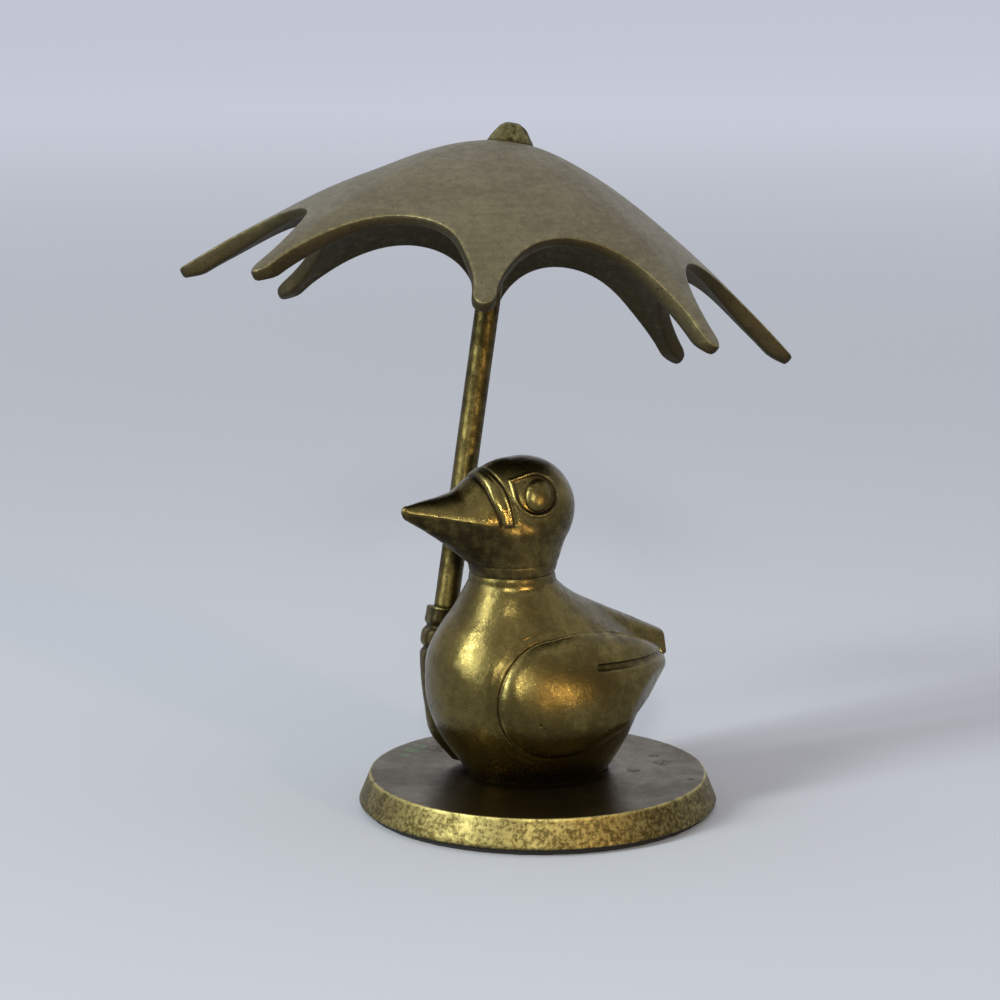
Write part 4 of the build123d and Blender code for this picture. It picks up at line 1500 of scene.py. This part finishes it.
def base_brass():
    """The base: turned brass with rings round its middle, dull brown on top with dark and green spots, and a
    mottled crust with bright metal between its blotches on the side."""
    colours = bpy.context.scene.brass_colours
    material, build, shader, coordinates = blank_material("Turned base brass")
    ageing = placed(build, "Brass ageing", Vector=coordinates, Scale=60.0)
    rubbing = rubbing_of(build, ageing)
    parts = build.add("ShaderNodeSeparateXYZ", Vector=coordinates).outputs
    square = build.plus(build.times(parts[0], parts[0]), build.times(parts[1], parts[1]))
    reach = build.math("SQRT", square)
    angle = build.math("ARCTAN2", parts[1], parts[0])
    sweep = build.add("ShaderNodeCombineXYZ", X=reach, Y=build.times(angle, 0.0012), Z=parts[2]).outputs[0]
    rings = placed(build, "Fine streaks", Vector=sweep, Scale=1900.0)["Streaks"]
    normal = build.add("ShaderNodeNewGeometry").outputs["Normal"]
    up = build.add("ShaderNodeSeparateXYZ", Vector=normal).outputs[2]
    on_top = build.span(up, 0.5, 0.9)
    tone = build.plus(build.times(ageing["Patches"], 0.5), build.times(ageing["Mottle"], 0.3))
    tone = build.plus(tone, build.times(build.minus(rings, 0.4), 0.5))
    top_paint = build.mix(tone, tuple(colours.top_dark), tuple(colours.top_light))
    blotches = build.noise(coordinates, 1150.0, 6.0, 0.72)
    blotches = build.plus(blotches, build.times(build.minus(tone, 0.5), 0.25))
    blotches = build.span(blotches, 0.36, 0.62)
    side_paint = build.mix(blotches, tuple(colours.side_dark), tuple(colours.side_light))
    paint = build.mix(on_top, side_paint, top_paint)
    paint = build.mix(build.times(ageing["Specks"], 0.7), paint, tuple(colours.dark))
    stained = build.times(spots(build, coordinates, DARK_SPOTS), on_top)
    paint = build.mix(build.times(stained, 0.85), paint, tuple(colours.dark))
    green = build.times(spots(build, coordinates, GREEN_SPOTS), on_top)
    paint = build.mix(build.times(green, 0.8), paint, tuple(colours.verdigris))
    # Painted shade round the duck's foot, from the values stored at the points
    paint = build.mix(build.times(rubbing["Dark"], 0.85), paint, tuple(colours.dark))
    paint = build.mix(build.times(rubbing["Rubbed"], 0.9), paint, tuple(colours.bright))
    build.feed(shader.inputs["Base Color"], paint)
    crust = build.math("MAXIMUM", green, stained)
    build.feed(shader.inputs["Metallic"], build.minus(1.0, build.times(crust, 0.85)))
    rough = build.span(tone, 0.0, 1.0, 0.42, 0.27)
    rough = build.plus(rough, build.span(on_top, 0.0, 1.0, 0.13, 0.0))
    build.feed(shader.inputs["Roughness"], build.plus(rough, build.times(crust, 0.3)))
    height = build.plus(build.times(rings, 0.9), build.times(ageing["Mottle"], 0.3))
    build.relief(shader, height, 0.00005)
    return material


def finial_brass():
    """The finial: rough, pitted and greenish."""
    shape = look(
        scale=150.0,
        lighter=1.25,
        darker=0.5,
        specks=0.9,
        rough=(0.42, 0.6),
        skin_bump=1.4,
        pit_bump=1.2,
        bump_distance=0.00022,
    )
    return brass("Rough cast brass", tuple(bpy.context.scene.brass_colours.finial), shape)


def machined_brass():
    """The screw and washer, which nothing has touched."""
    shape = look(lighter=1.2, darker=0.85, specks=0.1, rough=(0.25, 0.35), bump_distance=0.00002)
    return brass("Machined brass", tuple(bpy.context.scene.brass_colours.bright), shape)


def felt():
    """Black felt: tangled fibres from two noises. Its near-black colour is partly the felt's own and partly
    painted shade for the shadowed gap under the base.
    """
    dark = tuple(bpy.context.scene.brass_colours.felt)
    material, build, shader, coordinates = blank_material("Black felt")
    fibres = build.noise(build.stretched(coordinates, (1.0, 0.35, 1.0), (0, 0, 0.7)), 2600.0, 4.0, 0.7)
    clumps = build.noise(coordinates, 420.0, 4.0, 0.6)
    both = build.plus(build.times(fibres, 0.6), build.times(clumps, 0.4))
    paint = build.mix(both, [c * 0.5 for c in dark], [c * 2.2 for c in dark])
    build.feed(shader.inputs["Base Color"], paint)
    shader.inputs["Roughness"].default_value = 0.95
    build.relief(shader, both, 0.00025)
    return material


class DUCK_OT_casting(bpy.types.Operator):
    """Makes the duck's casting: trunk, head, eyes, left wing and raised wing."""

    bl_idname = "brass_duck.casting"
    bl_label = "Duck casting"

    def execute(self, context):
        sizes = context.scene.duck_sizes
        material = casting_brass()
        rough = sizes.unevenness / MM
        for name, rings, relief_of in (
            ("duck_trunk", trunk_rings(215, 196), trunk_relief),
            ("duck_head", head_rings(255, 192), head_relief),
        ):
            relief, hollow = relief_of(rings, sizes)
            relief = relief + rough * wobble(rings, 7.0, 3) + 0.5 * rough * wobble(rings, 2.6, 4)
            points = rings + normals(rings) * relief[..., None]
            wear = 0.35 * ease(relief / 0.5) + 0.15
            self.cast(skin(name, lift(points), wear, hollow), material)
        points, wear, hollow = wing_rings(150, 420, sizes)
        points[..., 0] += rough * wobble(points, 6.0, 8)
        self.cast(skin("left_wing", lift(points), wear, hollow), material)
        self.cast(skin("raised_wing", *raised_wing_rings(150, 200)), material)
        for side, name in ((1, "left_eye"), (-1, "right_eye")):
            self.cast(skin(name, *self.eye(side, sizes)), material)
        return {"FINISHED"}

    def cast(self, piece, material):
        """Finishes a piece as a part of the one casting."""
        finish(piece, "duck", "casting", material, "duck_body")

    def eye(self, side, sizes):
        """An eye: a low oval cap on the head's ball that turns under at its edge."""
        out, up, forwards = eye_axes(side)
        turn = np.linspace(0, TURN, 140, endpoint=False)
        tilt = np.linspace(0.04, 1.9, 44)[:, None]
        wide, tall = EYE_BALL_HALVES
        radius = np.sin(np.minimum(tilt, np.pi / 2)) * (1 - 0.1 * np.clip(tilt - np.pi / 2, 0, None))
        flat_x, flat_y = radius * wide * np.cos(turn), radius * tall * np.sin(turn)
        cos, sin = np.cos(EYE_BALL_TILT), np.sin(EYE_BALL_TILT)
        ahead = EYE_BALL_PLACE[0] + flat_x * cos - flat_y * sin
        upwards = EYE_BALL_PLACE[1] + flat_x * sin + flat_y * cos
        bulge = np.sign(np.cos(tilt)) * np.abs(np.cos(tilt)) ** 0.7
        dome = (sizes.eye_rise + sizes.socket_depth) / MM * bulge - sizes.socket_depth / MM
        arm = BALL_RADIUS * out + ahead[..., None] * forwards + upwards[..., None] * up
        arm /= np.linalg.norm(arm, axis=-1, keepdims=True)
        points = BALL_CENTRE + arm * (BALL_RADIUS + dome)[..., None]
        tilt = np.broadcast_to(tilt, points.shape[:2])
        wear = 0.25 * (1 - ease((tilt - 0.6) / 0.8))
        # Painted shade where the eye turns under at its edge
        hollow = 0.8 * ease((tilt - 1.2) / 0.5)
        return lift(points), wear, hollow


class DUCK_OT_base(bpy.types.Operator):
    """Makes the turned base, its felt pad and the finish of its hidden screw and washer."""

    bl_idname = "brass_duck.base"
    bl_label = "Base and pad"

    def execute(self, context):
        sizes = context.scene.base_sizes
        rings = revolve(base_profile(sizes), 360)
        radius, height = np.linalg.norm(rings[..., :2], axis=-1), rings[..., 2]
        outer = BASE_HIGH[0] - sizes.top_inset / MM
        wear = bump(radius - outer, 0.22) * ease((height - BASE_TOP + 0.7) / 0.5)
        # Painted shade: a dark ring on the top where the duck's foot stands
        foot = np.hypot(rings[..., 0] / FOOT_HALVES[0], (rings[..., 1] - FOOT_BACK) / FOOT_HALVES[1])
        hollow = 0.8 * bump(foot - 1.0, 0.09) * ease((height - BASE_TOP + 0.2) / 0.1)
        base = skin("base", rings, wear, hollow, joined=True)
        finish(base, "duck", "base", base_brass(), "base_disc")
        pad = pad_rings(sizes)
        none = np.zeros(pad.shape[:2])
        finish(skin("pad", pad, none, none), "duck", "pad", felt(), "felt_pad")
        metal = machined_brass()
        for node in ("base_screw", "base_washer"):
            for slot in frame["nodes"][node].material_slots:
                slot.link = "OBJECT"
                slot.material = metal
        return {"FINISHED"}


class DUCK_OT_umbrella(bpy.types.Operator):
    """Makes the umbrella: rod, canopy and finial."""

    bl_idname = "brass_duck.umbrella"
    bl_label = "Umbrella"

    def execute(self, context):
        sizes = context.scene.umbrella_sizes
        canopy = skin("canopy", *canopy_rings(34, 78, sizes), joined=True)
        finish(canopy, "canopy", "canopy", canopy_brass(), "umbrella_canopy")
        rings = rod_rings()
        height = rings[..., 2]
        # Painted shade at the rod's foot in the socket and under the canopy's hub
        hollow = 0.7 * ease((0.6 - height) / 1.0) + 0.5 * bump(height - ROD_LENGTH, 2.0)
        rod = skin("rod", on_rod(rings), np.full_like(height, 0.1), hollow)
        finish(rod, "rod", "rod", rod_brass(), "umbrella_rod")
        rings = finial_rings()
        rough = 0.16 * wobble(rings, 3.0, 21) + 0.07 * wobble(rings, 1.1, 22)
        rough = rough * ease((rings[..., 2] - CROWN_TOP - 0.1) / 0.6)
        rings = rings + normals(rings) * (rough - 0.08)[..., None]
        # Painted shade where the finial meets the canopy, and patina in its dents
        hollow = 0.6 * bump(rings[..., 2] - CROWN_TOP, 0.5) + ease(-rough / 0.25)
        cap = skin("finial_cap", on_rod(rings), ease(rough / 0.4), hollow)
        finish(cap, "canopy", "finial", finial_brass(), "finial")
        return {"FINISHED"}


# Reaches of the floor's rings in metres, its sides, how far it lies under the pad, and where it is painted
# paler as painted light
FLOOR_RINGS = (0.05, 0.2, 0.6, 2.0, 6.0, 14.0)
FLOOR_SIDES = 96
FLOOR_GAP = 0.00001
FLOOR_FADE = (0.25, 2.5)
CAMERA_PLACE = (0.51956, -0.28497, 0.1770)
CAMERA_TILT = np.radians(79.14)
CAMERA_HEADING = np.radians(62.0)
CAMERA_LENS = 108.0
SENSOR = 36.0
# Level direction in which the room is darkest
DARKEST = (0.883, -0.4695)
LAMP_SPREAD = np.radians(100)
LAMP_AIM = (0, 0, 0.06)
# Lamps: name, place in metres, width and height in metres, colour, name of the power
LAMPS = (
    ("window", (0.14, -1.84, 0.94), 0.27, 1.50, (0.90, 1.0, 0.97), "window_power"),
    ("front_lamp", (1.24, -0.69, 0.65), 0.11, 0.16, (1.0, 0.98, 0.84), "front_power"),
    ("warm_lamp", (1.525, 0.21, 0.27), 0.09, 0.10, (1.0, 0.72, 0.42), "lamp_power"),
)


class DUCK_OT_stage(bpy.types.Operator):
    """Makes the pale floor, the soft lamps, the surroundings and the camera."""

    bl_idname = "brass_duck.stage"
    bl_label = "Stage"

    def execute(self, context):
        settings = context.scene.stage_settings
        self.floor(settings)
        self.lamps(settings)
        self.surroundings(settings)
        data = bpy.data.cameras.new("camera")
        data.lens = CAMERA_LENS
        data.sensor_width = SENSOR
        data.clip_start = 0.01
        camera = bpy.data.objects.new("camera", data)
        camera.location = CAMERA_PLACE
        camera.rotation_euler = (CAMERA_TILT, 0, CAMERA_HEADING)
        context.scene.collection.objects.link(camera)
        context.scene.camera = camera
        context.scene.view_settings.view_transform = "Standard"
        return {"FINISHED"}

    def floor(self, settings):
        """A wide flat floor just under the pad, in rings that widen outwards. It is painted darker near the
        duck, where the lamps light it, and paler with distance, where their light falls off.
        """
        angle = np.linspace(0, TURN, FLOOR_SIDES, endpoint=False)
        reach = np.array(FLOOR_RINGS)[:, None]
        x, y = reach * np.cos(angle), reach * np.sin(angle)
        points = np.stack([x, y, np.full_like(x, -FLOOR_GAP)], -1).reshape(-1, 3)
        place = np.arange(len(points)).reshape(x.shape)
        after = np.roll(place, -1, axis=1)
        faces = np.stack([place[:-1], place[1:], after[1:], after[:-1]], -1).reshape(-1, 4)
        mesh = bpy.data.meshes.new("floor")
        mesh.from_pydata(points.tolist(), [], [*faces.tolist(), place[0].tolist()])
        mesh.update()
        floor = bpy.data.objects.new("floor", mesh)
        bpy.context.scene.collection.objects.link(floor)
        material, build, shader, coordinates = blank_material("Pale floor")
        # Painted light: paler with distance, to make up for the lamps' light falling off away from the duck
        far = build.span(build.vector("LENGTH", coordinates), *FLOOR_FADE)
        paint = build.mix(far, tuple(settings.floor), tuple(settings.far_floor))
        build.feed(shader.inputs["Base Color"], paint)
        shader.inputs["Roughness"].default_value = 0.9
        shader.inputs["Specular IOR Level"].default_value = 0.0
        floor.data.materials.append(material)

    def lamps(self, settings):
        """Soft rectangular lamps that face the duck."""
        for name, place, width, height, tint, setting in LAMPS:
            data = bpy.data.lights.new(name, "AREA")
            data.shape = "RECTANGLE"
            data.size, data.size_y = width, height
            data.energy = getattr(settings, setting)
            data.color = tint
            data.spread = LAMP_SPREAD
            lamp = bpy.data.objects.new(name, data)
            towards = np.array(LAMP_AIM) - place
            lamp.location = place
            heading = np.arctan2(-towards[0], towards[1])
            tilt = np.arctan2(np.hypot(towards[0], towards[1]), -towards[2])
            lamp.rotation_euler = (tilt, 0, heading)
            bpy.context.scene.collection.objects.link(lamp)

    def surroundings(self, settings):
        """A pale room that darkens towards the side that the duck's left faces, and brightens overhead."""
        world = bpy.data.worlds.new("room")
        bpy.context.scene.world = world
        world.use_nodes = True
        tree = world.node_tree
        tree.nodes.clear()
        build = Tree(tree)
        direction = build.add("ShaderNodeTexCoord").outputs["Generated"]
        parts = build.add("ShaderNodeSeparateXYZ", Vector=direction).outputs
        along = build.times(parts[0], DARKEST[0])
        towards = build.plus(along, build.times(parts[1], DARKEST[1]))
        side = build.span(towards, 0.0, 0.6)
        level = build.mix(side, tuple(settings.room), tuple(settings.dark_side))
        sky = build.mix(build.span(parts[2], 0.3, 0.95), level, tuple(settings.ceiling))
        background = build.add("ShaderNodeBackground", Color=sky, Strength=1.0)
        output = build.add("ShaderNodeOutputWorld")
        tree.links.new(background.outputs[0], output.inputs[0])


class DUCK_PT_panel(bpy.types.Panel):
    """Lists the duck's operators and sizes."""

    bl_idname = "DUCK_PT_panel"
    bl_label = "Brass duck"
    bl_space_type = "VIEW_3D"
    bl_region_type = "UI"
    bl_category = "Brass duck"

    def draw(self, context):
        for operator in OPERATORS:
            self.layout.operator(operator.bl_idname)
        for holder in GROUPS:
            box = self.layout.box()
            settings = getattr(context.scene, holder)
            for key in settings.bl_rna.properties.keys():
                if key not in {"name", "rna_type"}:
                    box.prop(settings, key)


OPERATORS = (DUCK_OT_casting, DUCK_OT_base, DUCK_OT_umbrella, DUCK_OT_stage)
GROUPS = {
    "duck_sizes": DuckSizes,
    "umbrella_sizes": UmbrellaSizes,
    "base_sizes": BaseSizes,
    "brass_colours": BrassColours,
    "stage_settings": StageSettings,
}
CLASSES = (*GROUPS.values(), *OPERATORS, DUCK_PT_panel)


def register():
    for each in CLASSES:
        bpy.utils.register_class(each)
    for holder, kind in GROUPS.items():
        setattr(bpy.types.Scene, holder, PointerProperty(type=kind))


def unregister():
    for holder in GROUPS:
        delattr(bpy.types.Scene, holder)
    for each in reversed(CLASSES):
        bpy.utils.unregister_class(each)


def main():
    register()
    bpy.ops.brass_duck.casting()
    bpy.ops.brass_duck.base()
    bpy.ops.brass_duck.umbrella()
    bpy.ops.brass_duck.stage()


if __name__ == "__main__":
    main()
